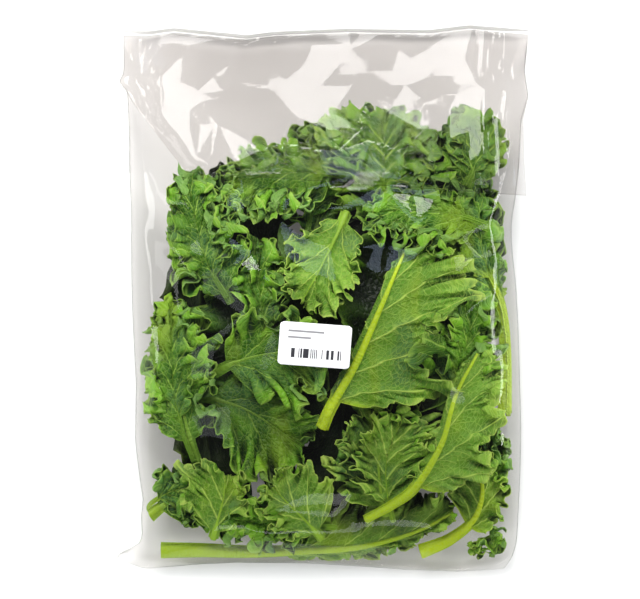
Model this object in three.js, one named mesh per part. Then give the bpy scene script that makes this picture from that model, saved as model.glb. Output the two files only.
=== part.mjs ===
// A bag of curly kale: loose whole leaves, packed flat in a clear film bag whose empty top is
// folded down over the front, with a plain sticker on the front film.
// The bag lies on its back. Millimetres, +Z up, +Y from the bottom seam to the top fold, and the
// origin under the middle of the bag, on the surface that it rests on.
import * as THREE from "three";

// ---------------------------------------------------------------- driving dimensions
const FILM = 0.6; // film of the bag, thick enough to be a solid
const BLADE = 0.8; // thickness of a leaf blade
const LAYERS = 5; // layers of leaves between the back film and the front film
const PACK_GAP = 2.2; // clear space between the outermost layer and the film
const SEAM = 1.9; // thickness of the bag where its two films meet

// The filled bag, at stations along its length: [y, left edge, right edge, height of the front film].
const BAG_STATIONS = [
  [-188, -126, 128, 9],
  [-181, -144, 133, 20],
  [-170, -127, 136, 32],
  [-150, -127, 137, 43],
  [-120, -129, 138, 54],
  [-70, -131, 138, 60],
  [0, -133, 137, 61],
  [50, -133, 132, 58],
  [95, -136, 138, 50],
  [130, -137, 141, 37],
  [160, -138, 143, 22],
  [184, -139, 144, 11],
];
const BAG_ROWS = [-188, -181, -170, -150, -120, -75, -25, 25, 75, 112, 148, 184];
const BAG_COLUMNS = [-1, -0.94, -0.82, -0.6, -0.3, 0, 0.3, 0.6, 0.82, 0.94, 1]; // -1 and 1 are its edges
const STEEPEST = 0.5; // the least cosine of the film's slope that its thickness allows for
const FLAT_BACK = 0.6; // the share of its width on which the bag lies flat
const EDGE_RISE = 11; // how far the back film lifts off the surface at the bag's sides
const FOLD = { reach: 4.2, steps: 5 }; // the top fold: how far it stands out, and its steps

// The folded-down top: [share of its length, left edge, right edge], from the fold to its mouth.
const FLAP_STATIONS = [
  [0, -139, 144],
  [0.35, -140, 142],
  [0.7, -118, 141],
  [1, -95, 141],
];
// straight: the share of the bag's width over which the flap follows it; past that the flap stands
// straight out. lift: how far it rises off the bag at its mouth.
const FLAP = { left: 96, right: 112, gap: 1.4, thick: 3, straight: 0.86, lift: 2 };
const FLAP_ROWS = [0.12, 0.35, 0.55, 0.78, 1]; // shares of its length

const LABEL = { width: 50, height: 30, corner: 2.5, thick: 0.5, gap: 0.35, turn: -0.075, x: -5, y: -32 };
const LABEL_GRID = { inset: [0, 0.25, 1], rows: 3, columns: 5 }; // inset: rows in a corner's height

const FOLD_BEND = 3; // radius of the bend beside the rib of a folded leaf
const WING = 1.2; // width of the blade left beside the bare stalk
const STALK_ROWS = 4; // divisions along the bare stalk
const RIB_RISE = { raised: 1.25, flat: 0.35 }; // how far the rib stands out of the two sides, in radii

// How finely a leaf is divided: rows along it, columns across each half of its blade, and the
// columns across its rib, in rib radii.
const LARGE = { rows: 20, columns: 3, rib: [-1, -0.62, 0, 0.62, 1] };
const MIDDLE = { rows: 16, columns: 3, rib: [-1, 0, 1] };
const SMALL = { rows: 12, columns: 3, rib: [-1, 0, 1] };
const INNER = { rows: 14, columns: 2, rib: [-1, 0, 1] };
const TINY = { rows: 7, columns: 1, rib: [-1, 0, 1] };

// path: [x, y, layer] from the cut end of the stalk to the tip. left and right: the widest half of
// the blade on each side of the rib, looking along the path. stalk: the share of the path with no
// blade. rib: the stalk's radius at its cut end. under: the side with the raised rib faces up.
// fold: the side that is folded under the other, along the rib. waves, ruffle: number and height,
// in layers, of the margin's waves. lobes: number of lobes along each margin.
const LEAVES = [
  {
    name: "kale_leaf_01",
    path: [[0, -90, 3.9], [6, -76, 4.1], [24, -44, 4.3], [40, -8, 4.4], [51, 18, 4.4], [58, 34, 4.3]],
    left: 46, right: 66, stalk: 0.16, rib: 4.6, under: true, fold: "left",
    waves: 5.5, ruffle: 0.3, lobes: 5, seed: 1, grid: LARGE,
  },
  {
    name: "kale_leaf_02",
    path: [[30, -154, 4], [48, -144, 4.1], [64, -132, 4.2], [83, -101, 4.3], [93, -67, 4.4], [108, -38, 4.4]],
    left: 28, right: 36, stalk: 0.3, rib: 4.2, under: true, fold: "left",
    waves: 4, ruffle: 0.3, lobes: 4, seed: 2, grid: LARGE,
  },
  {
    name: "kale_leaf_03",
    path: [
      [-113, -176, 2.5], [-85, -176, 2.4], [-50, -177, 2.4], [-15, -176, 2.4],
      [22, -174, 2.4], [50, -168, 2.5], [72, -160, 2.5], [92, -149, 2.4],
    ],
    left: 32, right: 7, stalk: 0.42, rib: 4.6, under: true,
    waves: 5, ruffle: 0.22, lobes: 5, seed: 43, grid: LARGE,
  },
  {
    name: "kale_leaf_04",
    path: [[0, -167, 4.1], [-9, -157, 4.4], [-22, -144, 4.5], [-34, -131, 4.4]],
    left: 20, right: 30, stalk: 0.12, rib: 2.6, under: true,
    waves: 2.5, ruffle: 0.3, lobes: 3, seed: 4, grid: SMALL,
  },
  {
    name: "kale_leaf_05",
    path: [[-76, -167, 4.1], [-73, -155, 4.4], [-69, -140, 4.5], [-67, -123, 4.4]],
    left: 32, right: 17, stalk: 0.12, rib: 2.6, under: true,
    waves: 2.5, ruffle: 0.3, lobes: 3, seed: 5, grid: SMALL,
  },
  {
    name: "kale_leaf_06",
    path: [[-76, -52, 3.8], [-60, -44, 4.3], [-37, -38, 4.5], [-14, -38, 4.5], [0, -44, 4.4]],
    left: 27, right: 34, stalk: 0.15, rib: 3, under: false,
    waves: 3, ruffle: 0.3, lobes: 3, seed: 6, grid: SMALL,
  },
  {
    name: "kale_leaf_07",
    path: [[-88, -68, 3.3], [-74, -70, 3.4], [-53, -77, 3.5], [-32, -90, 3.5], [-14, -103, 3.4]],
    left: 26, right: 42, stalk: 0.15, rib: 3, under: false,
    waves: 3.5, ruffle: 0.3, lobes: 3, seed: 7, grid: SMALL,
  },
  {
    name: "kale_leaf_08",
    path: [[17, 60, 3.6], [10, 44, 4.3], [-3, 18, 4.5], [-13, 0, 4.5]],
    left: 26, right: 24, stalk: 0.1, rib: 3, under: true,
    waves: 3, ruffle: 0.3, lobes: 3, seed: 8, grid: SMALL,
  },
  {
    name: "kale_leaf_09",
    path: [[16, 88, 3.6], [-12, 90, 4.3], [-40, 88, 4.5], [-66, 80, 4.5]],
    left: 32, right: 20, stalk: 0.1, rib: 3, under: false,
    waves: 3, ruffle: 0.3, lobes: 3, seed: 9, grid: SMALL,
  },
  {
    name: "kale_leaf_10",
    path: [[-63, -3, 3.7], [-77, 22, 4.4], [-86, 56, 4.5], [-91, 84, 4.4]],
    left: 24, right: 24, stalk: 0.1, rib: 3.2, under: false,
    waves: 4, ruffle: 0.34, lobes: 4, seed: 10, grid: MIDDLE,
  },
  {
    name: "kale_leaf_11",
    path: [[-84, -120, 3.2], [-92, -98, 3.7], [-98, -70, 4.2], [-100, -36, 4.4], [-100, -8, 4.4]],
    left: 22, right: 22, stalk: 0.2, rib: 4, under: false,
    waves: 4, ruffle: 0.34, lobes: 4, seed: 11, grid: MIDDLE,
  },
  {
    name: "kale_leaf_12",
    path: [[44, 60, 3.6], [46, 80, 4.3], [46, 104, 4.4], [44, 124, 4.3]],
    left: 40, right: 34, stalk: 0.2, rib: 3.4, under: false,
    waves: 3, ruffle: 0.34, lobes: 4, seed: 12, grid: MIDDLE,
  },
  {
    name: "kale_leaf_13",
    path: [
      [128.5, -80, 2.7], [129, -40, 2.7], [124, -2, 2.9], [113, 24, 3.3],
      [107, 48, 3.5], [103, 76, 3.5], [101, 108, 3.5],
    ],
    left: 36, right: 12, stalk: 0.42, rib: 4.6, under: false,
    waves: 5, ruffle: 0.34, lobes: 5, seed: 13, grid: MIDDLE,
  },
  {
    name: "kale_leaf_14",
    path: [[45, -151, 3.1], [41, -134, 3.2], [40, -108, 3.4], [49, -80, 3.3]],
    left: 30, right: 36, stalk: 0.1, rib: 3.2, under: true,
    waves: 4, ruffle: 0.32, lobes: 4, seed: 14, grid: MIDDLE,
  },
  {
    name: "kale_leaf_15",
    path: [[69, -177, 2.4], [90, -168, 2.2], [107, -153, 2.4], [112, -132, 2.9], [105, -110, 3]],
    left: 30, right: 15, stalk: 0.42, rib: 4.2, under: true,
    waves: 4, ruffle: 0.3, lobes: 4, seed: 51, grid: MIDDLE,
  },
  {
    name: "kale_leaf_16",
    path: [[118, -142, 1.6], [118, -122, 1.8], [117, -104, 1.8], [116, -92, 1.8]],
    left: 22, right: 12, stalk: 0.15, rib: 3, under: false,
    waves: 4, ruffle: 0.3, lobes: 4, seed: 16, grid: SMALL,
  },
  {
    name: "kale_leaf_17",
    path: [[-20, -140, 2.5], [-32, -60, 2.5], [-42, 20, 2.5], [-45, 92, 2.5]],
    left: 50, right: 38, stalk: 0.15, rib: 4, under: false,
    waves: 5, ruffle: 0.34, lobes: 5, seed: 17, grid: INNER,
  },
  {
    name: "kale_leaf_18",
    path: [[38, -120, 2.5], [52, -40, 2.5], [58, 40, 2.5], [50, 116, 2.5]],
    left: 40, right: 50, stalk: 0.15, rib: 4, under: false,
    waves: 5, ruffle: 0.34, lobes: 5, seed: 18, grid: INNER,
  },
  {
    name: "kale_leaf_19",
    path: [[70, 108, 1.5], [42, 40, 1.5], [20, -40, 1.5], [10, -146, 1.5]],
    left: 52, right: 50, stalk: 0.15, rib: 4, under: true,
    waves: 5, ruffle: 0.34, lobes: 5, seed: 19, grid: INNER,
  },
  {
    name: "kale_leaf_20",
    path: [[-76, 84, 1.5], [-84, 20, 1.5], [-84, -60, 1.5], [-72, -160, 1.5]],
    left: 36, right: 24, stalk: 0.12, rib: 4, under: true,
    waves: 5, ruffle: 0.34, lobes: 5, seed: 20, grid: INNER,
  },
  {
    name: "kale_leaf_21",
    path: [[84, -78, 3.1], [90, -50, 3.3], [98, -22, 3.5], [100, 4, 3.5]],
    left: 24, right: 22, stalk: 0.15, rib: 3.2, under: false,
    waves: 4, ruffle: 0.3, lobes: 4, seed: 21, grid: INNER,
  },
  {
    name: "kale_leaf_22",
    path: [[-26, -150, 0.5], [-56, -80, 0.5], [-70, 0, 0.5], [-66, 90, 0.5]],
    left: 34, right: 52, stalk: 0.15, rib: 3.6, under: false,
    waves: 5, ruffle: 0.34, lobes: 5, seed: 22, grid: INNER,
  },
  {
    name: "kale_leaf_23",
    path: [[62, -150, 0.5], [56, -60, 0.5], [60, 20, 0.5], [74, 100, 0.5]],
    left: 56, right: 54, stalk: 0.15, rib: 3.6, under: false,
    waves: 5, ruffle: 0.34, lobes: 5, seed: 23, grid: INNER,
  },
  {
    name: "kale_leaf_24",
    path: [[-121, -152, 2.4], [-110, -144, 2.5], [-98, -138, 2.7], [-84, -136, 2.8]],
    left: 14, right: 22, stalk: 0.25, rib: 3.8, under: false,
    waves: 3, ruffle: 0.3, lobes: 3, seed: 24, grid: SMALL,
  },
  {
    name: "kale_leaf_25",
    path: [[101, 78, 4.2], [107, 92, 4.4], [110, 110, 4.4], [108, 126, 4.3]],
    left: 24, right: 16, stalk: 0.15, rib: 3, under: false,
    waves: 3, ruffle: 0.34, lobes: 3, seed: 25, grid: SMALL,
  },
  {
    name: "kale_leaf_26",
    path: [[-40, -34, 3.2], [-45, -8, 3.4], [-48, 18, 3.5], [-46, 42, 3.5]],
    left: 12, right: 20, stalk: 0.12, rib: 3, under: false,
    waves: 3, ruffle: 0.3, lobes: 3, seed: 26, grid: SMALL,
  },
  {
    name: "kale_leaf_27",
    path: [[6, -155, 3.1], [-20, -153, 3.3], [-48, -150, 3.4], [-72, -150, 3.4]],
    left: 20, right: 18, stalk: 0.12, rib: 3, under: false,
    waves: 3, ruffle: 0.3, lobes: 3, seed: 27, grid: SMALL,
  },
  {
    name: "kale_leaf_28",
    path: [[-6, 36, 3.1], [-2, 62, 3], [1, 90, 3], [2, 116, 3]],
    left: 24, right: 26, stalk: 0.12, rib: 3, under: false,
    waves: 3, ruffle: 0.3, lobes: 3, seed: 30, grid: SMALL,
  },
  {
    name: "kale_leaf_29",
    path: [[117, 50, 4.4], [98, 56, 4.6], [70, 60, 4.7], [36, 58, 4.7]],
    left: 24, right: 20, stalk: 0.1, rib: 2.4, under: false,
    waves: 3, ruffle: 0.3, lobes: 3, seed: 31, grid: SMALL,
  },
  {
    name: "kale_scrap_01",
    path: [[103, -170, 2.6], [106, -175, 2.6], [111, -179, 2.6]],
    left: 4, right: 2, stalk: 0.1, rib: 0.7, under: true,
    waves: 1, ruffle: 0.05, lobes: 1, seed: 28, grid: TINY,
  },
  {
    name: "kale_scrap_02",
    path: [[119, -181, 2.6], [120, -174, 2.6], [122, -164, 2.6]],
    left: 5, right: 5, stalk: 0.1, rib: 0.9, under: false,
    waves: 2, ruffle: 0.2, lobes: 2, seed: 29, grid: TINY,
  },
];

// ---------------------------------------------------------------- small helpers
const clamp = (v, low, high) => Math.min(high, Math.max(low, v));
const mix = (a, b, t) => a + (b - a) * t;
const smooth = (t) => t * t * (3 - 2 * t);
const sub = (a, b) => a.map((v, k) => v - b[k]);
const cross = (a, b) => [a[1] * b[2] - a[2] * b[1], a[2] * b[0] - a[0] * b[2], a[0] * b[1] - a[1] * b[0]];
const unit = (a) => {
  const length = Math.hypot(...a) || 1;
  return a.map((v) => v / length);
};

// A smooth curve through rows of [key, value, value, ...], read at a key. Its slopes are the
// chords', so it doesn't overshoot much, and it stays level past its ends.
function through(rows, key) {
  const last = rows.length - 1;
  const at = clamp(key, rows[0][0], rows[last][0]);
  let i = 0;
  while (i < last - 1 && at > rows[i + 1][0]) i++;
  const [a, b] = [rows[i], rows[i + 1]];
  const [before, after] = [rows[Math.max(0, i - 1)], rows[Math.min(last, i + 2)]];
  const span = b[0] - a[0];
  const t = (at - a[0]) / span;
  const ease = smooth(t);
  const leave = t * (1 - t) ** 2;
  const arrive = t * t * (t - 1);
  return a.slice(1).map((v, k) => {
    const slopeA = ((b[k + 1] - before[k + 1]) / (b[0] - before[0])) * span;
    const slopeB = ((after[k + 1] - v) / (after[0] - a[0])) * span;
    return mix(v, b[k + 1], ease) + leave * slopeA + arrive * slopeB;
  });
}

function geometryOf(positions, index) {
  const geometry = new THREE.BufferGeometry();
  geometry.setAttribute("position", new THREE.Float32BufferAttribute(positions.flat(), 3));
  geometry.setIndex(index);
  geometry.computeVertexNormals();
  return geometry;
}

// ---------------------------------------------------------------- the space in the bag
// The film's front and back heights at a place in the filled bag.
function filmHeights(x, y) {
  const [left, right, top] = through(BAG_STATIONS, y);
  const middle = (left + right) / 2;
  const across = clamp(Math.abs((x - middle) / ((right - left) / 2)), 0, 1);
  const lowest = Math.min(EDGE_RISE, (top - SEAM) / 2);
  const back = lowest * Math.max(0, (across - FLAT_BACK) / (1 - FLAT_BACK)) ** 2;
  const front = mix(lowest + SEAM, top, (1 - across ** 4) ** 0.6);
  return { front, back };
}

// The height of a layer of the pack, 0 at the back film and LAYERS at the front film.
function layerHeight(x, y, layer) {
  const { front, back } = filmHeights(x, y);
  return mix(back + FILM + PACK_GAP, front - FILM - PACK_GAP, layer / LAYERS);
}

// ---------------------------------------------------------------- leaves
// The stalk tapers from its cut end to a vein at the tip.
const ribRadius = (leaf, s) => leaf.rib * mix(1, 0.2, s ** 0.8);

const isFolded = (leaf, side) => leaf.fold === (side < 0 ? "left" : "right");

// How far along the blade s is: 0 up to its base, and 1 at its tip.
const alongBlade = (leaf, s) => clamp((s - leaf.stalk) / (1 - leaf.stalk), 0, 1);

// Half width of the blade, on one side.
function halfWidth(leaf, s, side) {
  const b = alongBlade(leaf, s);
  if (b === 0) return WING;
  const oval = Math.sin(Math.PI * Math.min(b, 0.985) ** 0.75) ** (isFolded(leaf, side) ? 2.4 : 0.6);
  const lobe = 1 + 0.15 * Math.sin(2 * Math.PI * leaf.lobes * b + leaf.seed + side);
  return WING + (side < 0 ? leaf.left : leaf.right) * oval * lobe;
}

// A point of the leaf's sheet, at s along its path and at a distance from its rib, on one side:
// -1 is left and 1 is right. The blade's veins lean forward, and a folded side turns down and back
// under the rib.
function bladePoint(leaf, spine, s, distance, side) {
  const [x, y, layer] = through(spine, s);
  const step = 0.004;
  const [tx, ty] = unit(sub(through(spine, s + step), through(spine, s - step)).slice(0, 2));
  const b = alongBlade(leaf, s);
  const lean = mix(1.35, 0.75, b);
  const q = distance / halfWidth(leaf, s, side);
  let along = distance * Math.cos(lean);
  let out = distance * Math.sin(lean);
  let drop = 0;
  if (isFolded(leaf, side)) {
    const turn = Math.min(distance / FOLD_BEND, Math.PI);
    const rest = Math.max(0, distance - Math.PI * FOLD_BEND);
    along = rest * Math.cos(lean);
    out = FOLD_BEND * Math.sin(turn) - rest * Math.sin(lean);
    drop = FOLD_BEND * (1 - Math.cos(turn));
  }
  out = side * (out + ribRadius(leaf, s));
  const px = x + tx * along + ty * out;
  const py = y + ty * along - tx * out;
  const wave = Math.sin(2 * Math.PI * leaf.waves * b + leaf.seed * 2.3 + side * 1.1 + q);
  const height = leaf.ruffle * (isFolded(leaf, side) ? 0.4 : 1) * Math.min(1, b * 6);
  return [px, py, layerHeight(px, py, layer + height * q ** 1.5 * wave) - drop];
}

// The distances from the rib of the blade's columns, at s. A folded side has two in its bend.
function bladeColumns(leaf, s, side) {
  const width = halfWidth(leaf, s, side);
  const count = leaf.grid.columns + (isFolded(leaf, side) ? 1 : 0);
  const even = Array.from({ length: count + 1 }, (_, j) => (width * j) / count);
  if (!isFolded(leaf, side)) return even;
  const bend = Math.min((Math.PI / 2) * FOLD_BEND, even[1]);
  return even.map((_, j) => (j < 3 ? bend * j : mix(bend * 2, width, (j - 2) / (count - 2))));
}

function leafGeometry(leaf) {
  const { rows, rib } = leaf.grid;
  const lengths = [0];
  leaf.path.slice(1).forEach((p, i) => {
    lengths.push(lengths[i] + Math.hypot(p[0] - leaf.path[i][0], p[1] - leaf.path[i][1]));
  });
  const spine = leaf.path.map((p, i) => [lengths[i] / lengths.at(-1), ...p]);
  const grid = [];
  const swell = [];
  for (let i = 0; i <= rows; i++) {
    const onBlade = (i - STALK_ROWS) / (rows - STALK_ROWS);
    const s = i < STALK_ROWS ? (leaf.stalk * i) / STALK_ROWS : mix(leaf.stalk, 1, onBlade);
    const left = bladeColumns(leaf, s, -1).map((d) => bladePoint(leaf, spine, s, d, -1));
    const right = bladeColumns(leaf, s, 1).map((d) => bladePoint(leaf, spine, s, d, 1));
    const ridge = rib.slice(1, -1).map((c) => left[0].map((v, k) => mix(v, right[0][k], (c + 1) / 2)));
    grid.push([...left.reverse(), ...ridge, ...right]);
    const bulges = rib.slice(1, -1).map((c) => ribRadius(leaf, s) * Math.sqrt(1 - c * c));
    swell.push([...left.map(() => 0), ...bulges, ...right.map(() => 0)]);
  }
  const upper = leaf.under ? RIB_RISE.raised : RIB_RISE.flat;
  const lower = leaf.under ? RIB_RISE.flat : RIB_RISE.raised;
  return skin(grid, (i, j) => [BLADE / 2 + upper * swell[i][j], BLADE / 2 + lower * swell[i][j]]);
}

// A closed skin round a grid of points, thickened up and down along the grid's normals by the two
// amounts that thickness(i, j) gives.
function skin(grid, thickness) {
  const rows = grid.length;
  const columns = grid[0].length;
  const positions = [];
  for (const way of [1, -1]) {
    for (let i = 0; i < rows; i++) {
      for (let j = 0; j < columns; j++) {
        const along = sub(grid[Math.min(rows - 1, i + 1)][j], grid[Math.max(0, i - 1)][j]);
        const over = sub(grid[i][Math.min(columns - 1, j + 1)], grid[i][Math.max(0, j - 1)]);
        const normal = unit(cross(over, along));
        const amount = way * thickness(i, j)[way > 0 ? 0 : 1];
        positions.push(grid[i][j].map((v, k) => v + normal[k] * amount));
      }
    }
  }
  const top = (i, j) => i * columns + j;
  const bottom = (i, j) => (rows + i) * columns + j;
  const index = [];
  const quad = (a, b, c, d) => index.push(a, b, c, a, c, d);
  for (let i = 0; i < rows - 1; i++) {
    for (let j = 0; j < columns - 1; j++) {
      quad(top(i, j), top(i, j + 1), top(i + 1, j + 1), top(i + 1, j));
      quad(bottom(i, j), bottom(i + 1, j), bottom(i + 1, j + 1), bottom(i, j + 1));
    }
    quad(top(i, 0), top(i + 1, 0), bottom(i + 1, 0), bottom(i, 0));
    quad(top(i + 1, columns - 1), top(i, columns - 1), bottom(i, columns - 1), bottom(i + 1, columns - 1));
  }
  for (let j = 0; j < columns - 1; j++) {
    quad(top(0, j + 1), top(0, j), bottom(0, j), bottom(0, j + 1));
    quad(top(rows - 1, j), top(rows - 1, j + 1), bottom(rows - 1, j + 1), bottom(rows - 1, j));
  }
  return geometryOf(positions, index);
}

// ---------------------------------------------------------------- the film bag
// The rings of the bag's outside, from the bottom seam to the mouth. Each ring runs over the front
// film from left to right and back over the back film.
function bagRings() {
  const rings = [];
  const ring = (front, back) => {
    rings.push([...BAG_COLUMNS.map(front), ...BAG_COLUMNS.map(back).reverse()]);
  };
  const bodyX = (u, y) => {
    const [left, right] = through(BAG_STATIONS, y);
    return mix(left, right, (u + 1) / 2);
  };
  for (const y of BAG_ROWS) {
    ring(
      (u) => [bodyX(u, y), y, filmHeights(bodyX(u, y), y).front],
      (u) => [bodyX(u, y), y, filmHeights(bodyX(u, y), y).back],
    );
  }
  const foldY = BAG_ROWS.at(-1);
  for (let i = 1; i < FOLD.steps; i++) {
    const angle = (Math.PI * i) / FOLD.steps;
    const turned = (x, low, high, reach) => {
      return [x, foldY + reach * Math.sin(angle), mix(low, high, (1 - Math.cos(angle)) / 2)];
    };
    ring(
      (u) => {
        const x = bodyX(u, foldY);
        const { front } = filmHeights(x, foldY);
        return turned(x, front, front + FLAP.gap, FLAP.gap / 2);
      },
      (u) => {
        const x = bodyX(u, foldY);
        const { front, back } = filmHeights(x, foldY);
        return turned(x, back, front + FLAP.gap + FLAP.thick, FOLD.reach);
      },
    );
  }
  for (const f of [0, ...FLAP_ROWS]) {
    const flapPoint = (u, rise) => {
      const [left, right] = through(FLAP_STATIONS, f);
      const x = mix(left, right, (u + 1) / 2);
      const y = foldY - f * mix(FLAP.left, FLAP.right, (u + 1) / 2);
      const limit = mix(1, FLAP.straight, smooth(Math.min(1, 3 * f)));
      const [bagLeft, bagRight] = through(BAG_STATIONS, y);
      const over = clamp(x, bagLeft * limit, bagRight * limit);
      return [x, y, filmHeights(over, y).front + FLAP.gap + FLAP.lift * f + rise];
    };
    ring(
      (u) => flapPoint(u, 0),
      (u) => flapPoint(u, FLAP.thick),
    );
  }
  return rings;
}

function bagGeometry() {
  const outside = bagRings();
  const count = outside[0].length;
  const rows = outside.length;
  // The inside is the outside moved towards the opposite film, further where the film is steep, and
  // in from the side edges and the bottom seam.
  const inside = outside.map((ring, i) =>
    ring.map((point, j) => {
      const along = sub(outside[Math.min(rows - 1, i + 1)][j], outside[Math.max(0, i - 1)][j]);
      const over = sub(ring[(j + 1) % count], ring[(j + count - 1) % count]);
      const normal = unit(cross(over, along));
      const facing = sub(ring[count - 1 - j], point);
      const toward = unit(facing);
      const square = Math.abs(normal[0] * toward[0] + normal[1] * toward[1] + normal[2] * toward[2]);
      const depth = Math.min(FILM / Math.max(square, STEEPEST), Math.hypot(...facing) / 3);
      const column = j < count / 2 ? j : count - 1 - j;
      const inward = [column === 0 ? FILM : column === count / 2 - 1 ? -FILM : 0, i === 0 ? FILM : 0, 0];
      return point.map((v, k) => v + toward[k] * depth + inward[k]);
    }),
  );
  const positions = [...outside.flat(), ...inside.flat()];
  const outer = (i, j) => i * count + (j % count);
  const inner = (i, j) => (rows + i) * count + (j % count);
  const index = [];
  const quad = (a, b, c, d) => index.push(a, b, c, a, c, d);
  for (let i = 0; i < rows - 1; i++) {
    for (let j = 0; j < count; j++) {
      quad(outer(i, j), outer(i, j + 1), outer(i + 1, j + 1), outer(i + 1, j));
      quad(inner(i, j), inner(i + 1, j), inner(i + 1, j + 1), inner(i, j + 1));
    }
  }
  const mouth = rows - 1;
  for (let j = 0; j < count; j++) {
    quad(outer(mouth, j), outer(mouth, j + 1), inner(mouth, j + 1), inner(mouth, j));
  }
  for (let j = 0; j < count / 2 - 1; j++) {
    const across = count - 1 - j; // the point of the back film that faces point j of the front film
    quad(outer(0, j + 1), outer(0, j), outer(0, across), outer(0, across - 1));
    quad(inner(0, j), inner(0, j + 1), inner(0, across - 1), inner(0, across));
  }
  return geometryOf(positions, index);
}

// ---------------------------------------------------------------- the sticker
// A thin sheet with rounded corners that follows the front film.
function labelGeometry() {
  const { width, height, corner, gap, thick, turn } = LABEL;
  const { inset, rows, columns } = LABEL_GRID;
  const ends = inset.map((share) => share * corner);
  const middles = Array.from({ length: rows - 1 }, (_, i) => mix(corner, height - corner, (i + 1) / rows));
  const heights = [...ends, ...middles, ...ends.map((d) => height - d).reverse()];
  const grid = heights.map((v) => {
    const into = corner - Math.min(corner, v, height - v);
    const narrow = corner - Math.sqrt(corner ** 2 - into ** 2);
    return Array.from({ length: columns + 1 }, (_, j) => {
      const across = (width / 2 - narrow) * mix(-1, 1, j / columns);
      const up = v - height / 2;
      const x = LABEL.x + across * Math.cos(turn) - up * Math.sin(turn);
      const y = LABEL.y + across * Math.sin(turn) + up * Math.cos(turn);
      return [x, y, filmHeights(x, y).front + gap + thick / 2];
    });
  });
  return skin(grid, () => [thick / 2, thick / 2]);
}

// ---------------------------------------------------------------- the assembly
const material = (color, roughness) => new THREE.MeshStandardMaterial({ color, roughness, metalness: 0 });
const MATERIALS = {
  upper: material(0x2f6b1e, 0.55),
  under: material(0x6f9a45, 0.6),
  film: material(0xe4e1df, 0.1),
  paper: material(0xf1f2f4, 0.7),
};
MATERIALS.film.transparent = true;
MATERIALS.film.opacity = 0.25;

const kale = new THREE.Group();
function add(name, geometry, surface) {
  const mesh = new THREE.Mesh(geometry, surface);
  mesh.name = name;
  kale.add(mesh);
}
for (const leaf of LEAVES) add(leaf.name, leafGeometry(leaf), leaf.under ? MATERIALS.under : MATERIALS.upper);
add("bag", bagGeometry(), MATERIALS.film);
add("label", labelGeometry(), MATERIALS.paper);
export default kale;
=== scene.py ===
"""The looks of a bag of curly kale: finer leaves with veins and curled margins, the clear film bag
with its creases, the sticker, a pale floor, studio light and a camera that looks straight down.

Lengths are millimetres until a mesh is made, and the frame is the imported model's: +Z up, +Y from
the bottom seam to the top fold. A leaf's place, size and form come from the same named values as
its solid's."""
from dataclasses import dataclass, replace

import bpy
import numpy as np
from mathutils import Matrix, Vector
from mathutils.bvhtree import BVHTree
from mathutils.geometry import delaunay_2d_cdt


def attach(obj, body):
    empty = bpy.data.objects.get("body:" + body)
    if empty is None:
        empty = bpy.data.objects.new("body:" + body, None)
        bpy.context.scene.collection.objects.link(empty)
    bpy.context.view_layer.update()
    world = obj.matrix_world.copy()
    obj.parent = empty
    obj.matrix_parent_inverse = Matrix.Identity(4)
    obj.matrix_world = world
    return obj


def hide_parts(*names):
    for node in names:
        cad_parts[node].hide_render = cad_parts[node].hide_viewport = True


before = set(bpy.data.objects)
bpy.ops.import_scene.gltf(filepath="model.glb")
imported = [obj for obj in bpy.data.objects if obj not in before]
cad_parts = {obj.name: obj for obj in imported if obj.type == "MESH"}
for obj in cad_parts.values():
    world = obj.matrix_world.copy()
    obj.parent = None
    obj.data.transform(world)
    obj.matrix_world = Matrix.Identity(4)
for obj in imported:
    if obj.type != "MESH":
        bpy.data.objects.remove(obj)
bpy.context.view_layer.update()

MM = 0.001

# ---------------------------------------------------------------- driving dimensions
FILM = 0.6  # the solid film's thickness, which the pack inside leaves free
LAYERS = 5  # layers of leaves between the back film and the front film
PACK_GAP = 2.2  # clear space between the outermost layer and the film
SEAM = 1.9  # thickness of the bag where its two films meet

# The filled bag, at stations along its length: (y, left edge, right edge, height of the front film).
BAG_STATIONS = [
    (-188, -126, 128, 9), (-181, -144, 133, 20), (-170, -127, 136, 32), (-150, -127, 137, 43),
    (-120, -129, 138, 54), (-70, -131, 138, 60), (0, -133, 137, 61), (50, -133, 132, 58),
    (95, -136, 138, 50), (130, -137, 141, 37), (160, -138, 143, 22), (184, -139, 144, 11),
]
TOP_FOLD = BAG_STATIONS[-1][0]
FLAT_BACK = 0.6  # the share of its width on which the bag lies flat
EDGE_RISE = 11  # how far the back film lifts off the surface at the bag's sides
CROWN = (4, 0.6)  # powers that round the front film over, from side to side
FOLD_REACH = 4.2  # how far the top fold stands out

# The folded-down top: (share of its length, left edge, right edge), from the fold to its mouth.
FLAP_STATIONS = [(0, -139, 144), (0.35, -140, 142), (0.7, -118, 141), (1, -95, 141)]
FLAP_LEFT, FLAP_RIGHT = 96, 112  # its length down its left and right sides
FLAP_GAP = 1.4  # between the bag's front film and the flap
FLAP_STRAIGHT = 0.86  # the share of the bag's width over which the flap follows it
FLAP_LIFT = 2  # how far it rises off the bag at its mouth

LABEL_WIDTH, LABEL_HEIGHT, LABEL_CORNER = 50, 30, 2.5
LABEL_X, LABEL_Y, LABEL_TURN = -5, -32, -0.075
LABEL_THICK, LABEL_RISE = 0.25, 0.35  # its thickness, and how far its middle lies off the film
LABEL_GRID = (31, 41)

FOLD_BEND = 3  # radius of the bend beside the rib of a folded leaf
WING = 1.2  # width of the blade left beside the bare stalk
RIB_RAISED, RIB_FLAT = 1.25, 0.2  # how far the rib stands out of its two sides, in radii
BLADE = 0.5  # thickness of a blade

# How finely a leaf is divided: rows along it, and columns across each half of its blade.
LARGE = (220, 24)
MIDDLE = (170, 19)
SMALL = (125, 15)
INNER = (80, 7)
TINY = (44, 6)
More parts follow.
